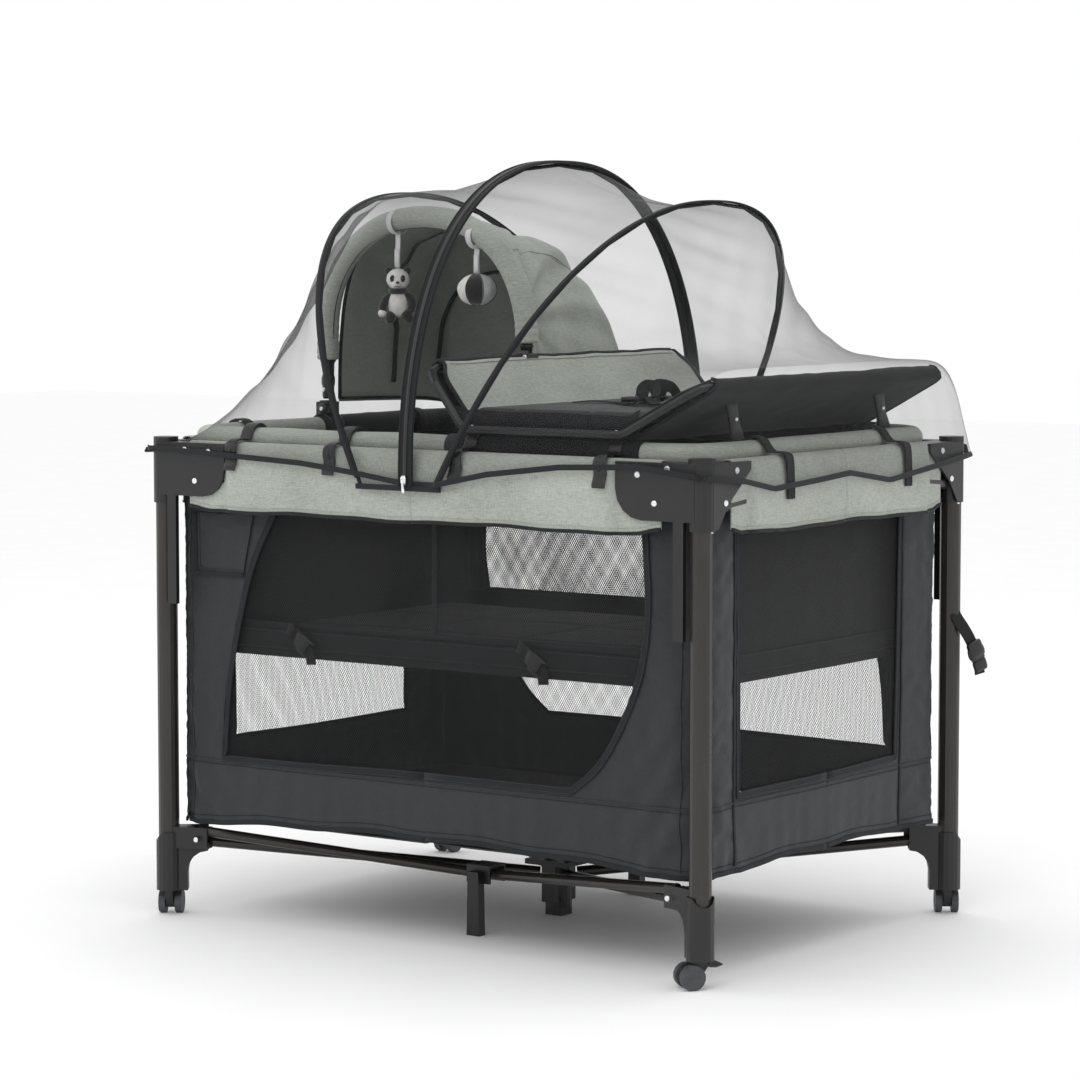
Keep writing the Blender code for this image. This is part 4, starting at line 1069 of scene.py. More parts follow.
for y0, s in ((-0.205, 1), (-0.120, -1)):
    ribbon([(0.362, y0, 0.812), (0.335, y0 + 0.004, 0.824), (0.312, y0 + s * 0.012, 0.823), (0.292, y0 + s * 0.018, 0.832), (0.270, y0 + s * 0.010, 0.823), (0.246, y0 + s * 0.022, 0.8225)], 0.022, M["webbing"])
    ribbon([(0.292, y0 + s * 0.018, 0.833), (0.276, y0 + s * 0.024, 0.840), (0.284, y0 + s * 0.028, 0.849), (0.304, y0 + s * 0.022, 0.846), (0.310, y0 + s * 0.012, 0.832)], 0.018, M["webbing"], ref=V((0, 1, 0)))
ribbon([(0.150, -0.170, 0.8210), (0.180, -0.165, 0.8235), (0.215, -0.160, 0.8225), (0.246, -0.183, 0.8235)], 0.022, M["webbing"])
g.sweep([V((0.238, -0.176, 0.8270)), V((0.262, -0.160, 0.8290)), V((0.286, -0.146, 0.8270))], flat_prof(0.026, 0.0085, 16), M["plastic_gloss"], ref=UP)
g.sweep([V((0.255, -0.164, 0.8335)), V((0.268, -0.156, 0.8340))], flat_prof(0.012, 0.0030), M["plastic"], ref=UP)
g.build("changer_harness", "changer", "charcoal_cloth")

# black hangers between the tray's outer wall and the rim, with their pins
g = Geo()
for y in (-0.215, 0.205):
    g.sweep([V((0.455, y, 0.842)), V((0.458, y, 0.822)), V((0.462, y, 0.800)), V((0.467, y, 0.7765))], flat_prof(0.030, 0.0090, 14), M["plastic"], ref=V((1, 0, 0)),
            scale=[(1.2, 1.0), (0.85, 0.8), (0.75, 0.8), (1.15, 1.0)])
    g.rivet((0.4655, y, 0.806), (1, 0, 0.1), 0.0030)
for x, y in ((0.085, -0.327), (0.343, -0.327), (0.085, 0.327), (0.343, 0.327)):
    g.sweep([V((x, y * 1.035, 0.795)), V((x, y * 1.030, 0.786)), V((x, y * 1.004, 0.7775))], flat_prof(0.026, 0.0080, 14), M["plastic"], ref=V((0, 1 if y > 0 else -1, 0)))
    g.rivet((x, y * 1.05, 0.789), (0, 1 if y > 0 else -1, 0), 0.0028)
g.build("changer_hangers", "changer", "black_plastic")

# ------------------------------------------------------------------ toy bar
SHOULDER, BAR_TOP = 0.905, 1.100


def arch(a, half, top, shoulder, power=2.2):
    c, s = -math.cos(a), math.sin(a)
    return SPAN / 2 + half * math.copysign(abs(c) ** (2 / power), c), shoulder + (top - shoulder) * max(s, 0.0) ** (2 / power)


def bar_point(s, z, out=0.0):
    p = V((BAR_L.x, BAR_L.y, 0)) + SPAN_V * s + DEPTH_V * out
    return V((p.x, p.y, z))


pts = [bar_point(0.002, 0.868 + 0.037 * k / 6) for k in range(7)]
for k in range(1, 61):
    s, z = arch(PI * k / 60, SPAN / 2 - 0.002, BAR_TOP, SHOULDER)
    pts.append(bar_point(s, z))
# evenly spaced along the arch
acc = [0.0]
for a, b in zip(pts, pts[1:]):
    acc.append(acc[-1] + (b - a).length)
BAR_LEN = acc[-1]


def bar_at(t):
    s = min(max(t, 0.0), 1.0) * BAR_LEN
    i = min(max(1, int(np.searchsorted(acc, s))), len(acc) - 1)
    f = (s - acc[i - 1]) / max(acc[i] - acc[i - 1], 1e-9)
    return pts[i - 1].lerp(pts[i], f)


g = Geo()
n = 190
path, sc = [], []
for i in range(n + 1):
    t = i / n
    p = bar_at(t)
    gather = step(0.16, 0.0, t) + step(0.90, 1.0, t)
    pucker = 0.055 * gather * math.sin(t * BAR_LEN * 520 + 2.0 * wob((t * 9, 0, 0), 2.0)) + 0.03 * gather
    k = 0.985 + pucker + 0.030 * wob((t * 6, 2, 1), 2.0) + 0.016 * wob((t * 40, 5, 1), 2.0) + (-0.10 if i in (0, n) else 0.0)
    path.append(p)
    sc.append((k, k * 1.01))
g.sweep(path, round_prof(0.0176, 22), M["sage_pad"], ref=DEPTH_V, scale=sc)
bar_obj = g.build("toy_bar_cover", "toy_bar", "sage_cloth")
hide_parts("toy_bar")
g = Geo()
g.sweep([bar_at(k / 90) - DEPTH_V * 0.0030 + (bar_at(k / 90) - bar_point(SPAN / 2, 0.93)).normalized() * -0.0172 for k in range(4, 88)], round_prof(0.0009, 6), M["binding"], ref=DEPTH_V)
# black end fittings: a tapered socket with a ribbed collar at each end
for s, z0, z1 in ((0.002, 0.8040, 0.8720), (SPAN - 0.002, 0.8935, 0.9100)):
    h = z1 - z0
    g.lathe([(0.0085, 0), (0.0098, 0.08 * h), (0.0098, 0.30 * h), (0.0112, 0.36 * h), (0.0112, 0.50 * h), (0.0098, 0.56 * h), (0.0104, 0.85 * h), (0.0135, 0.92 * h), (0.0135, h)],
            bar_point(s, z0), (0, 0, 1), M["plastic_gloss"], 20)
for k in range(2):
    g.rivet(bar_point(0.002, 0.8190 + 0.028 * k, -0.0096), -DEPTH_V, 0.0032)
g.build("toy_bar_fittings", "toy_bar", "black_plastic")

# clamps: a rounded jaw round the rim with a thumb screw, over the plain clamp blocks
g = Geo()
c = V((BAR_L.x, BAR_L.y, RIM_Z))
ringp = [c + V((math.cos(a) * (RIM_R + 0.0042), 0, math.sin(a) * (RIM_R + 0.0042))) for a in [math.radians(-58 + 296 * k / 28) for k in range(29)]]
g.sweep(ringp, flat_prof(0.034, 0.0052, 14), M["plastic"], ref=[(p - c) for p in ringp])
g.sweep([c + V((0.000, 0, 0.021)), c + V((0.001, 0, 0.034)), c + V((0.001, 0, 0.043))], flat_prof(0.029, 0.022, 16), M["plastic"], ref=V((1, 0, 0)), scale=[1.12, 1.0, 0.92])
g.lathe([(0.0020, -0.004), (0.0085, -0.003), (0.0092, 0.0), (0.0092, 0.006), (0.0075, 0.0078), (0.0030, 0.0080)], c + V((0.006, -0.0155, 0.030)), (0, -1, 0), M["plastic_gloss"], 18)
g.rivet(c + V((0.006, -0.0238, 0.030)), (0, -1, 0), 0.0032)
g.build("hood_clamp_left_jaw", "bassinet", "black_plastic")
g = Geo()
c = V((BAR_R.x, BAR_R.y, 0.874))
ringp = [c + V((math.cos(a) * 0.0100, 0, math.sin(a) * 0.0100)) for a in [math.radians(-50 + 280 * k / 20) for k in range(21)]]
g.sweep(ringp, flat_prof(0.032, 0.0040, 14), M["plastic"], ref=[(p - c) for p in ringp])
g.rivet(c + V((0.0060, -0.0165, 0.010)), (0, -1, 0), 0.0034)
g.build("hood_clamp_right_jaw", "changer", "black_plastic")

# ------------------------------------------------------------------ hood
F_L, F_R, B_L, B_R = V((-0.4595, 0.0245, 0)), V((-0.014, -0.052, 0)), V((-0.425, 0.300, 0)), V((-0.045, 0.300, 0))
H_LOW = 0.800


def hood_base(t, a):
    l, r = F_L.lerp(B_L, t), F_R.lerp(B_R, t ** 1.2)
    top = 1.099 - 0.010 * t - 0.283 * t ** 6
    c, s = -math.cos(a), max(math.sin(a), 0.0)
    power = 0.67 + 0.05 * t
    u = 0.5 + 0.5 * math.copysign(abs(c) ** power, c)
    low = H_LOW - 0.018
    z = low + (top - low) * s ** power
    # above the changer's bar the front edge comes up to the padded arch
    k = (1 - t) ** 3 * step(0.915, 0.965, z)
    r = r.lerp(V((BAR_R.x, BAR_R.y, 0)) + DEPTH_V * 0.0200 - SPAN_V * 0.004, k)
    l = l.lerp(V((BAR_L.x, BAR_L.y, 0)) + DEPTH_V * 0.0200 + SPAN_V * 0.004, k)
    p = l.lerp(r, u)
    return V((p.x, p.y, z))


def hood_point(t, a, off=0.0):
    """The canopy between its front bow and its back hem: sagging a little between them, with pleats fanning from the right shoulder."""
    e = 0.004
    p = hood_base(t, a)
    du = hood_base(min(1, t + e), a) - hood_base(max(0, t - e), a)
    dv = hood_base(t, min(PI, a + e)) - hood_base(t, max(0, a - e))
    nrm = dv.cross(du)
    nrm = nrm.normalized() if nrm.length > 1e-9 else UP
    if nrm.dot(p - V((-0.25, 0.12, 0.85))) < 0:
        nrm = -nrm
    mid = math.sin(PI * min(1, max(0, t)))
    rise = math.sin(a) ** 0.5 if 0 < a < PI else 0.0
    sag = -0.0100 * mid * rise * (0.5 + 0.5 * math.cos(4 * PI * t))
    right = math.exp(-((a - 2.35) / 0.62) ** 2)
    left = math.exp(-((a - 0.75) / 0.45) ** 2)
    ray = math.atan2(t - 0.02, (PI - 0.35 - a) * 0.55 + 1e-6)
    pleat = right * (0.0062 * math.sin(ray * 15.0) + 0.0030 * math.sin(ray * 31 + 1)) * mid ** 0.6
    pleat += left * 0.0040 * math.sin(a * 16 + t * 7) * mid
    small = 0.0030 * wob((p.x, p.y, p.z), 13.0) + 0.0014 * wob((p.x, p.y, p.z), 38.0)
    d = sag + pleat + small * mid
    return p + nrm * (min(d, 0.007) + off)


g = Geo()
g.patch(110, 70, lambda a, b: hood_point(b, PI * (0.004 + 0.992 * a)), M["sage"])
# faces point outwards, so that the lining, the sage made darker as painted shade, is the inner skin
hood_obj = g.build("hood_canopy", "hood", "sage_cloth")
hood_obj.data.update()
mid_face = hood_obj.data.polygons[35 * 110 + 55]
if mid_face.normal.z < 0:
    hood_obj.data.flip_normals()
hood_obj.data.materials.append(M["lining"])
mod = hood_obj.modifiers.new("layers", "SOLIDIFY")
mod.thickness, mod.offset, mod.material_offset = 0.0022, -1.0, 1
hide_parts("hood")
g_area = g.area()
g = Geo()
ins = -0.0085
for t, w in ((0.42, 0.012), (0.80, 0.008)):     # bow tunnels sewn inside
    path = [hood_point(t, PI * (0.02 + 0.96 * k / 60), ins) for k in range(61)]
    refs = [(p - V((-0.25, 0.15, 0.86))) for p in path]
    g.sweep(path, flat_prof(w, 0.0034), M["black"], ref=refs)
for t in (0.004, 0.996):
    path = [hood_point(t, PI * (0.006 + 0.988 * k / 80), -0.001) for k in range(81)]
    g.sweep(path, round_prof(0.0030, 8), M["binding"], ref=UP)
for a in (0.006, 0.994):
    path = [hood_point(k / 30, PI * a, -0.001) for k in range(31)]
    g.sweep(path, round_prof(0.0030, 8), M["binding"], ref=UP)
for a0, a1 in ((0.50, 0.46), (0.72, 0.70)):     # joining seams from front to back
    path = [hood_point(0.02 + 0.96 * k / 40, PI * (a0 + (a1 - a0) * k / 40), 0.0006) for k in range(41)]
    g.sweep(path, round_prof(0.0010, 6), M["sage"], ref=UP)
    g.sweep([p + V((0, 0, -0.0042)) for p in path], round_prof(0.0010, 6), M["lining"], ref=UP)
hood_trim = g.build("hood_trim", "hood", "charcoal_cloth")

# ------------------------------------------------------------------ hanging toys
def toy_axes():
    return (SPAN_V, DEPTH_V, UP)


def hang(g, s, top, low, mat):
    base = bar_point(s, 0)
    path = [base + UP * z + SPAN_V * (0.0007 * math.sin(z * 90)) for z in np.linspace(top + 0.006, low, 12)]
    g.sweep(path, flat_prof(0.0115, 0.0018), mat, ref=DEPTH_V)
    # the loop round the bar, with its hook-and-loop overlap
    c = V((base.x, base.y, top + 0.0185))
    ringp = [c + (SPAN_V * 0 + DEPTH_V * math.cos(a) + UP * math.sin(a)) * 0.0195 for a in [2 * PI * k / 28 for k in range(28)]]
    g.sweep(ringp, flat_prof(0.0120, 0.0018), mat, ref=[(p - c) for p in ringp], closed=True)
    g.sweep([base - DEPTH_V * 0.0022 + UP * z for z in (low + 0.030, low + 0.014, low + 0.001)], flat_prof(0.0105, 0.0015), mat, ref=DEPTH_V)


s = 0.176
g = Geo()
hang(g, s, 1.0735, 1.019, M["ribbon"])
ax = (V((math.cos(AZ), math.sin(AZ), 0)), V((-math.sin(AZ), math.cos(AZ), 0)), UP)    # it looks out of the open side
F = -ax[1]


def at(u, w, z):
    return bar_point(s, z) + ax[0] * u + F * w


g.ball(at(0, 0, 1.0005), (0.0185, 0.0160, 0.0172), ax, M["fur_white"], 28, 18, 0.06, 1)
g.ball(at(-0.002, 0.006, 0.9935), (0.0105, 0.0120, 0.0090), ax, M["fur_white"], 20, 14, 0.05, 2)
for q in (-1, 1):
    g.ball(at(q * 0.0150, -0.001, 1.0140), (0.0062, 0.0042, 0.0062), ax, M["fur_black"], 16, 10, 0.08, 3 + q)
    g.ball(at(q * 0.0078, 0.0120, 1.0015), (0.0046, 0.0040, 0.0062), ax, M["fur_black"], 16, 10, 0.05, 5 + q)
    g.ball(at(q * 0.0070, 0.0158, 1.0020), (0.0014, 0.0012, 0.0014), ax, M["plastic_gloss"], 10, 8)
    g.ball(at(q * 0.0070 + 0.0004, 0.0168, 1.0026), (0.0005, 0.0004, 0.0005), ax, M["fur_white"], 8, 6)
g.ball(at(0.0, 0.0180, 0.9955), (0.0030, 0.0020, 0.0021), ax, M["fur_black"], 12, 8)
g.sweep([at(-0.0040, 0.0168, 0.9900), at(-0.0018, 0.0182, 0.9885), at(0, 0.0180, 0.9905), at(0.0018, 0.0182, 0.9885), at(0.0040, 0.0168, 0.9900)], round_prof(0.0005, 5), M["fur_black"], ref=F)
g.ball(at(0, 0, 0.9620), (0.0165, 0.0135, 0.0225), ax, M["fur_white"], 26, 18, 0.06, 7)
g.lathe([(0.0120, 0), (0.0150, 0.002), (0.0158, 0.006), (0.0145, 0.009)], at(0, 0, 0.9770), (0, 0, 1), M["fur_black"], 22)
# arms and legs: the left arm reaches out and holds a small white ball
for pts_l, r in (([at(-0.012, 0, 0.976), at(-0.019, 0.002, 0.968), at(-0.0235, 0.004, 0.957), at(-0.0240, 0.004, 0.951)], 0.0062),
                 ([at(0.012, 0, 0.976), at(0.020, 0.003, 0.970), at(0.0225, 0.005, 0.960), at(0.0215, 0.006, 0.953)], 0.0066),
                 ([at(-0.008, 0, 0.946), at(-0.011, 0.003, 0.941), at(-0.0125, 0.005, 0.937)], 0.0078),
                 ([at(0.010, 0, 0.947), at(0.015, 0.003, 0.942), at(0.017, 0.005, 0.939)], 0.0082)):
    line = spline(pts_l, 5)
    k = len(line)
    g.sweep(line, round_prof(r, 14), M["fur_black"], ref=F, scale=[0.80 + 0.35 * math.sin(PI * min(1, (i + 1.2) / (k + 0.6))) for i in range(k)])
    g.ball(line[-1], (r * 1.02, r * 0.98, r * 1.0), ax, M["fur_black"], 16, 10, 0.05, r * 900)
g.ball(at(-0.0250, 0.005, 0.9465), (0.0068, 0.0068, 0.0068), ax, M["fur_white"], 18, 12, 0.05, 9)
plush_obj = g.build("toy_plush_figure", "toy_plush", "plush_white")
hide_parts("toy_plush")

s = 0.364
g = Geo()
hang(g, s, 1.0510, 1.010, M["ribbon"])
c = bar_point(s, 0.986)


def gore(nx, ny):
    """Three colours in gores from pole to pole."""
    ang = math.degrees(math.atan2(nx, -ny)) % 180
    return M["fur_black"] if ang < 20 or ang > 146 else (M["fur_grey"] if 20 <= ang < 84 else M["fur_white"])


SIDE_V = V((math.cos(AZ), math.sin(AZ), 0))
g.ball(c, (0.0310, 0.0290, 0.0250), (SIDE_V, V((-SIDE_V.y, SIDE_V.x, 0)), UP), M["fur_white"], 60, 26, 0.03, 4, section=gore)
for deg in (20, 84, 146, 200, 264, 326):        # the gores' seams
    w = math.radians(deg)
    way = SIDE_V * (0.0311 * math.sin(w)) - V((-SIDE_V.y, SIDE_V.x, 0)) * (0.0291 * math.cos(w))
    line = [c + way * math.cos(b) + UP * (0.0252 * math.sin(b)) for b in [PI * (k / 24 - 0.5) * 0.97 for k in range(25)]]
    g.sweep(line, round_prof(0.0007, 6), M["fur_black"], ref=[(p - c) for p in line])
ball_obj = g.build("toy_ball_stuffed", "toy_ball", "plush_white")
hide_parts("toy_ball")

# ------------------------------------------------------------------ insect net
NET_Y, NET_H, NET_Z, NET_P = 0.391, 0.480, 0.700, 2.3
HEM_FRONT = [(-0.533, 0.736), (-0.488, 0.737), (-0.358, 0.731), (-0.204, 0.724), (-0.079, 0.711), (-0.017, 0.694), (0.000, 0.688), (0.030, 0.692),
             (0.056, 0.701), (0.150, 0.720), (0.278, 0.735), (0.416, 0.740), (0.518, 0.727), (0.533, 0.727)]
HEM_RIGHT = [(-0.391, 0.729), (-0.297, 0.721), (-0.217, 0.706), (-0.100, 0.712), (-0.006, 0.718), (0.112, 0.701), (0.172, 0.707), (0.339, 0.724), (0.391, 0.728)]


def hoop_point(base_x, lean, a, out=0.0):
    c, s = -math.cos(a), max(math.sin(a), 0.0)
    v = (NET_H + out) * s ** (2 / NET_P)
    y = (NET_Y + out) * math.copysign(abs(c) ** (2 / NET_P), c)
    return V((base_x + v * math.sin(lean), y, NET_Z + v * math.cos(lean)))


def hem_front(x, y):
    """Height of the net's lower edge along the long sides; the rear is the front turned round."""
    return table(HEM_FRONT, x if y < 0 else -x)


def hem_right(x, y):
    return table(HEM_RIGHT, y if x > 0 else -y)


def tent(y, peak):
    r = abs(y) / NET_Y
    power = 2.0 if y < 0 else 0.62
    return 0.737 + (peak - 0.737) * max(0.0, 1 - r) ** power


# The net is a loft over sections across the yard: each is a function of the angle a (0 front, pi rear).
def sec_hoop(base_x, lean):
    def f(a):
        p = hoop_point(base_x, lean, a, 0.0034)
        if p.z < hem_front(p.x, p.y):
            p.z = hem_front(p.x, p.y)
        return p
    return f


def sec_left_tent(a):
    y = -NET_Y * math.cos(a)
    e = max(0.0, 1 - (abs(y) / NET_Y) ** 7)
    y *= 1.006
    return V((-0.493 - 0.022 * (1 - e), y, max(tent(y, 0.968), hem_front(-0.49, y))))


def sec_left_edge(a):
    y = -0.3935 * math.cos(a)
    k = abs(y) / 0.3935
    return V((-0.5335 + 0.016 * k ** 10, y, 0.7365 + 0.003 * math.sin(y * 23)))


def sec_right_tent(a):
    y = -NET_Y * math.cos(a)
    k = min(1.0, abs(y) / NET_Y)
    return V((0.497 + 0.016 * k ** 8, y * 1.003, 0.724 + 0.156 * (1 - k ** 14)))


def sec_right_edge(a):
    y = -0.3935 * math.cos(a)
    k = abs(y) / 0.3935
    return V((0.5335 - 0.014 * k ** 10, y, hem_right(1, y)))


SECTIONS = [sec_left_edge, sec_left_tent, sec_hoop(-0.088, -math.radians(25)), sec_hoop(0.0, 0.0), sec_hoop(0.054, math.radians(29)), sec_right_tent, sec_right_edge]
# how far the fabric bellies out (+) or sags (-) half way between two sections
SAG = [0.004, -0.022, -0.012, -0.030, -0.070, 0.004]


def net_point(f, a, off=0.0):
    """f runs over the sections, 0 the left edge to 6 the right one."""
    f = min(max(f, 0.0), 5.99999)
    i = int(f)
    t = f - i
    p, q = SECTIONS[i](a), SECTIONS[i + 1](a)
    r = p.lerp(q, t)
    low = 0.700
    rise = math.sin(a) ** 0.75 if 0 < a < PI else 0.0
    mid = math.sin(PI * t)
    out = V((0.0, -math.cos(a) * 0.35, math.sin(a) + 1e-4)).normalized()
    if i == 1:
        out = V((-0.45, -math.cos(a) * 0.10, math.sin(a) + 1e-4)).normalized()
    if i == 4:
        out = V((0.55, -math.cos(a) * 0.10, math.sin(a) + 1e-4)).normalized()
    sag = SAG[i]
    if i == 1:      # lifted by the arch and, behind it, by the hood
        over = math.exp(-(r.y / 0.11) ** 2) if r.y < 0 else 1.0
        sag = -0.038 * (1 - over) + (0.040 + 0.012 * step(0.02, 0.15, r.y)) * over
    r = r + out * (sag * mid * rise)
    # tension folds: fans from the hoops' ends and from the corners of the yard
    x, y, z = r
    side = abs(math.cos(a)) ** 2
    taut = 0.0
    if i in (1, 4):
        fan = math.atan2(z - 0.70, (abs(x) - 0.02) + 0.05)
        taut = (0.0030 * math.sin(fan * 23 + (2.0 if y < 0 else 0.6) + 0.5 * wob((x, y, z), 2.0)) + 0.0010 * math.sin(fan * 51)) * mid ** 0.6 * (0.35 + 0.9 * side)
        # rays running from the tent's peak down to the corner
        taut += 0.0017 * math.sin(y * 74 + 26 * t + 1.5 * wob((x, y, z), 3.0)) * (1 - side) * mid ** 0.7
    elif i in (2, 3):
        taut = (0.0026 * math.sin(z * 60 + x * 18 + (1 if y < 0 else 2.2)) + 0.0016 * math.sin(z * 131 + x * 40)) * mid
    else:
        taut = 0.0030 * math.sin(y * 47 + 1.2 * wob((x, y, z), 3.0)) * mid + 0.0016 * math.sin(y * 121) * mid
    taut += 0.0020 * wob((x, y, z), 8.0) * mid + 0.0008 * wob((x, y, z), 24.0) * mid
    nrm = V((0.0, -math.cos(a), math.sin(a) * 0.6 + 0.05)).normalized() if i in (2, 3) or side > 0.5 else out
    r = r + nrm * (taut + off)
    # hem line on the long sides
    if abs(y) > 0.30 and i in (1, 2, 3, 4):
        h = hem_front(r.x, y)
        if r.z < h:
            r.z = h
    wx = 0.5352 - 0.0125 * step(0.350, 0.386, abs(r.y))
    wy = 0.3975 - 0.0150 * step(0.495, 0.520, abs(r.x))
    r.x = min(max(r.x, -wx), wx)
    r.y = min(max(r.y, -wy), wy)
    return r


F_COUNT = [6, 64, 14, 34, 72, 10]
FS = []
for i, c in enumerate(F_COUNT):
    FS += [i + k / c for k in range(c)]
FS.append(6.0)


def even_angles(n):
    """Angles that spread the points evenly along a hoop."""
    dense = [PI * k / 600 for k in range(601)]
    run = [0.0]
    for a, b in zip(dense, dense[1:]):
        run.append(run[-1] + (hoop_point(0, 0, a) - hoop_point(0, 0, b)).length)
    return [float(np.interp(run[-1] * k / n, run, dense)) for k in range(n + 1)]


AN = even_angles(120)


def net_part(name, f0, f1):
    g = Geo()
    sel = [f for f in FS if f0 - 1e-9 <= f <= f1 + 1e-9]
    nu, nv = len(sel) - 1, len(AN) - 1
    g.patch(nu, nv, lambda a, b: net_point(sel[int(round(a * nu))], AN[int(round(b * nv))]), M["net"])
    ob = g.build(name, "net", "net_black")
    return ob, g.area(), nu, nv


net_left, a_left, _, _ = net_part("net_left", 0.0, 3.0)
net_right, a_right, _, _ = net_part("net_right", 3.0, 6.0)
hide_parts("net_skin")
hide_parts("net_skin")


def net_trim(name, build):
    g = Geo()
    build(g)
    return g.build(name, "net", "charcoal_cloth")


def net_hems(f0, f1):
    def build(g):
        sel = [f for f in FS if f0 - 1e-9 <= f <= f1 + 1e-9]
        for a, s in ((0.0, -1), (PI, 1)):
            path = [net_point(f, a) + V((0, 0, 0.0035)) for f in sel if 1.0 <= f <= 5.0]
            g.sweep(path, flat_prof(0.0085, 0.0022), M["binding"], ref=V((0, s, 0)))
        f = f0 if f0 == 0.0 else f1
        path = [net_point(f, a) + V((0, 0, 0.0020)) for a in AN]
        g.sweep(path, flat_prof(0.0085, 0.0022), M["binding"], ref=V((-1 if f == 0.0 else 1, 0, 0.2)))
        f = 2.0 if f0 == 0.0 else 4.0          # tape sewn round the leaning hoop
        path = [net_point(f, a) for a in AN]
        refs = [V((0, p.y, (p.z - NET_Z) * 0.8)) + V((0, 0, 1e-3)) for p in path]
        g.sweep(path, flat_prof(0.0080, 0.0030), M["black"], ref=refs)
        # a line of stitches either side of it
        for d in (-0.0055, 0.0055):
            g.sweep([p + V((d, 0, 0)) for p in path], round_prof(0.0006, 5), M["binding"], ref=refs)
    return build


hems_left = net_trim("net_hem_left", net_hems(0.0, 3.0))
hems_right = net_trim("net_hem_right", net_hems(3.0, 6.0))


def zip_band(g):
    path = [net_point(3.0, a, 0.0004) for a in AN]
    refs = [V((0, p.y / 0.391, ((p.z - NET_Z) / 0.480) ** 1.3 + 1e-3)) for p in path]
    g.sweep(path, flat_prof(0.0270, 0.0034, 16), M["black"], ref=refs)
    out = [p + r.normalized() * 0.0018 for p, r in zip(path, refs)]
    for d in (-0.0112, 0.0112):             # folded tape edges
        g.sweep([p + V((d, 0, 0)) for p in out], round_prof(0.0013, 6), M["binding"], ref=refs)
    # the coil: closely ribbed along its length
    fine = []
    for a, b in zip(out, out[1:]):
        fine += [a.lerp(b, k / 8) for k in range(8)]
    fine.append(out[-1])
    fref = []
    for a, b in zip(refs, refs[1:]):
        fref += [a.lerp(b, k / 8) for k in range(8)]
    fref.append(refs[-1])
    g.sweep(fine, [(x * 1.35, y * 0.62) for x, y in round_prof(0.0024, 8)], M["plastic"], ref=fref, scale=[1.0 + 0.20 * (k % 2) for k in range(len(fine))])


zipper = net_trim("net_zipper", zip_band)
g = Geo()
p0 = net_point(3.0, 0.0, 0.0)
q = V((0.0, p0.y - 0.0046, 0.7080))
q.y = max(q.y, -0.4025)
g.sweep([q + V((0, 0, 0.0085)), q + V((0, -0.0006, 0.0045)), q + V((0, -0.0006, -0.0020)), q + V((0, 0, -0.0060))], flat_prof(0.0100, 0.0042, 14), M["steel"], ref=V((0, -1, 0)), scale=[0.62, 1.0, 0.92, 0.55])
g.sweep([q + V((0, -0.0024, 0.0030)), q + V((0, -0.0034, -0.0040)), q + V((0.001, -0.0030, -0.0140)), q + V((0.0012, -0.0020, -0.0190))], flat_prof(0.0052, 0.0014, 12), M["steel"], ref=V((0, -1, 0)), scale=[0.8, 0.7, 1.0, 0.8])
g.build("net_zipper_slider", "net", "grey_tube")
min(1.16 * 0.80, max(a_left, 0.40))
min(1.16 * 0.80, max(a_right, 0.40))
print("NET AREAS", round(a_left, 3), round(a_right, 3), "HOOD", round(g_area, 3))

# ------------------------------------------------------------------ metal details of the frame
FRONT_PLATE = {"fl": ((-0.445, 0.739), (-0.397, 0.737), (-0.425, 0.691)), "fr": ((0.454, 0.742), (0.403, 0.732), (0.432, 0.692))}
FRONT_PLATE["rr"] = tuple((-x, z) for x, z in FRONT_PLATE["fl"])
FRONT_PLATE["rl"] = tuple((-x, z) for x, z in FRONT_PLATE["fr"])
SIDE_PLATE = ((0.297, 0.738), (0.326, 0.693))
for leg, (sx, sy) in LEGS.items():
    g = Geo()
    for x, z in FRONT_PLATE[leg]:
        g.rivet((x, sy * 0.3785, z), (0, sy, 0))
    for y, z in SIDE_PLATE:
        g.rivet((sx * 0.5195, sy * y, z), (sx, 0, 0))
    # the legs' own rivets: a sleeve at the corner and the foot
    g.rivet((sx * 0.4960, sy * 0.3755, 0.706), (0, sy, 0), 0.0036)
    g.rivet((sx * 0.5150, sy * 0.3560, 0.655), (sx, 0, 0), 0.0036)
    g.rivet((sx * 0.4440, sy * 0.3600, 0.124), (0, sy, 0), 0.0040)
    g.build("leg_rivets_" + leg, "leg_" + leg, "grey_tube")

# webbing strap with a side-release buckle, hanging from the right rear leg
g = Geo()
line = spline([V((0.5130, 0.352, 0.480)), V((0.5165, 0.355, 0.470)), V((0.5230, 0.363, 0.455)), V((0.5290, 0.372, 0.438)), V((0.5340, 0.380, 0.418)), V((0.5370, 0.386, 0.398)), V((0.5385, 0.389, 0.380))], 6)
g.sweep(line, flat_prof(0.0220, 0.0020), M["webbing"], ref=V((1, -0.3, 0)))
b, down = V((0.5365, 0.3800, 0.4160)), V((0.16, 0.30, -0.94)).normalized()
g.sweep([b - down * 0.0190, b - down * 0.0150, b, b + down * 0.0110], flat_prof(0.0290, 0.0090, 16), M["plastic_gloss"], ref=V((1, -0.3, 0)), scale=[0.86, 1.0, 1.0, 0.92])
g.sweep([b + down * 0.0120, b + down * 0.0160, b + down * 0.0260, b + down * 0.0300], flat_prof(0.0270, 0.0078, 16), M["plastic_gloss"], ref=V((1, -0.3, 0)), scale=[0.90, 1.0, 0.98, 0.86])
across = down.cross(V((1, -0.3, 0))).normalized()
for s in (-1, 1):
    g.sweep([b + across * (s * 0.0140) - down * 0.008, b + across * (s * 0.0152), b + across * (s * 0.0140) + down * 0.006], round_prof(0.0026, 8), M["plastic"], ref=V((1, 0, 0)))
g.build("leg_strap_rr", "leg_rr", "charcoal_cloth")
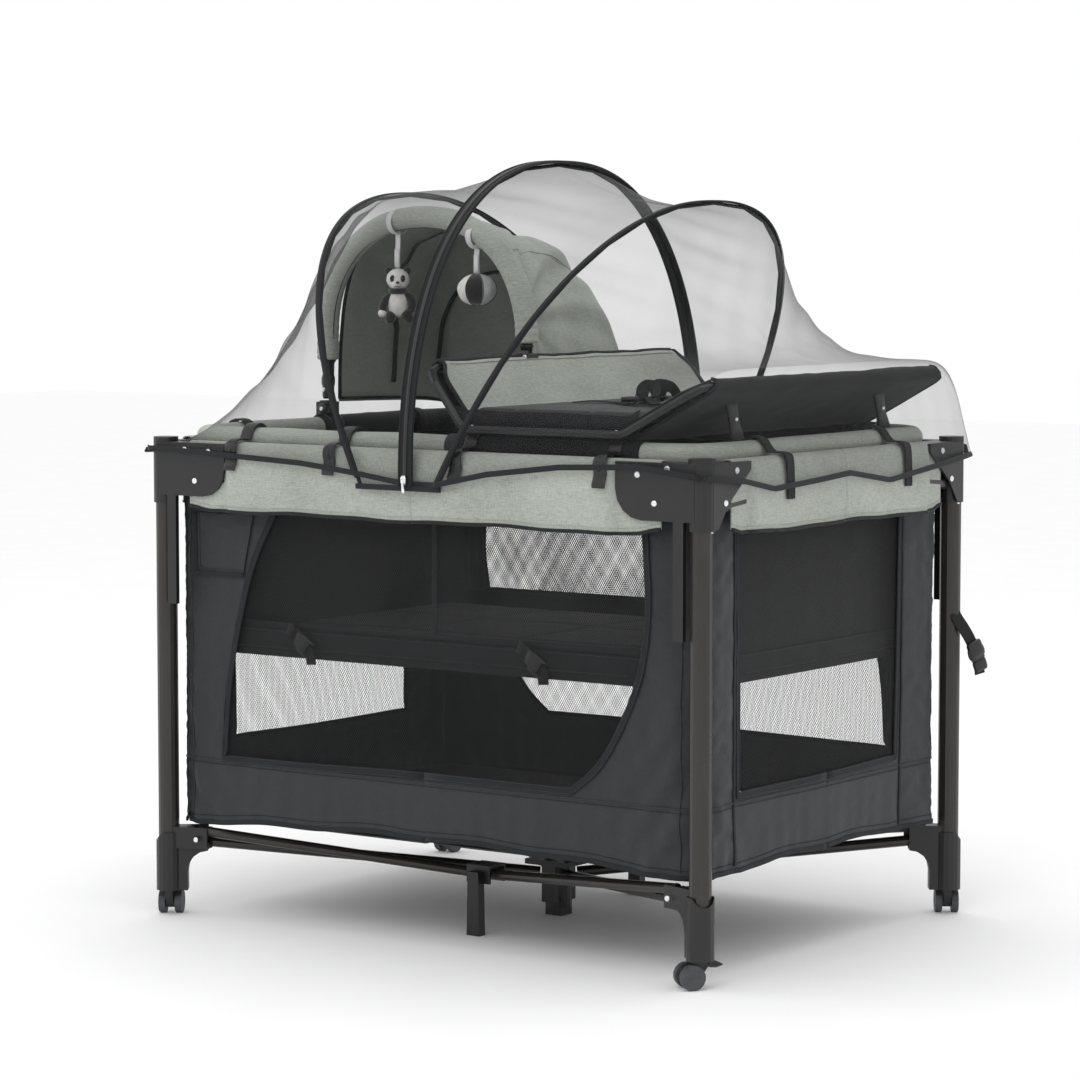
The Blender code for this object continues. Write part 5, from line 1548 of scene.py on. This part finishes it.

# hub: the rivets of its two plates, at the front and at the rear
g = Geo()
for s in (-1, 1):
    for k in (-1, 1):
        c0 = V((k * 0.0230, s * 0.0620, 0.118))
        g.rivet(c0, (0, s, 0), 0.0046)
g.build("hub_rivets", "hub", "grey_tube")

# ------------------------------------------------------------------ floor, light and world
R = 14.0
verts, faces = [], []
nu = 24
for i in range(nu + 1):
    for j in range(nu + 1):
        verts.append((-R + 2 * R * i / nu, -R + 2 * R * j / nu, 0.0))
for i in range(nu):
    for j in range(nu):
        a = i * (nu + 1) + j
        faces.append((a, a + nu + 1, a + nu + 2, a + 1))
floor_mesh = bpy.data.meshes.new("floor")
floor_mesh.from_pydata(verts, [], faces)
floor = bpy.data.objects.new("floor", floor_mesh)
SCENE.collection.objects.link(floor)
s = Mat("studio_floor")
s.b.inputs["Roughness"].default_value = 0.75
s.b.inputs["Specular IOR Level"].default_value = 0.15
grain = s.noise(6.0, 3.0, 0.5)
s.put(s.b.inputs["Base Color"], s.ramp(grain, [(0.3, (0.955, 0.955, 0.955, 1)), (0.7, (0.975, 0.975, 0.975, 1))]))
floor_mesh.materials.append(s.m)

world = bpy.data.worlds.new("studio")
SCENE.world = world
world.use_nodes = True
bg = world.node_tree.nodes["Background"]
bg.inputs["Color"].default_value = (1.0, 1.0, 1.0, 1.0)
bg.inputs["Strength"].default_value = 1.0


def softbox(name, at, look, size, power):
    data = bpy.data.lights.new(name, "AREA")
    data.shape, data.size, data.size_y, data.energy = "RECTANGLE", size[0], size[1], power
    ob = bpy.data.objects.new(name, data)
    SCENE.collection.objects.link(ob)
    ob.location = at
    ob.rotation_mode = "QUATERNION"
    ob.rotation_quaternion = (V(look) - V(at)).to_track_quat("-Z", "Y")
    return ob


key = softbox("key_light", (1.2, -3.4, 3.6), (0, 0, 0.6), (2.6, 2.0), 30.0)
fill = softbox("fill_light", (-3.6, -1.6, 2.2), (0, 0, 0.6), (2.2, 2.2), 10.0)
top = softbox("top_light", (0.0, 0.6, 4.2), (0, 0, 0.6), (3.0, 3.0), 22.0)
floor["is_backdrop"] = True
SCENE.view_settings.view_transform = "Standard"

lo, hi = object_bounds()
{"cad": [list(map(float, CAD_LO)), list(map(float, CAD_HI))], "visual": [list(map(float, lo)), list(map(float, hi))]}
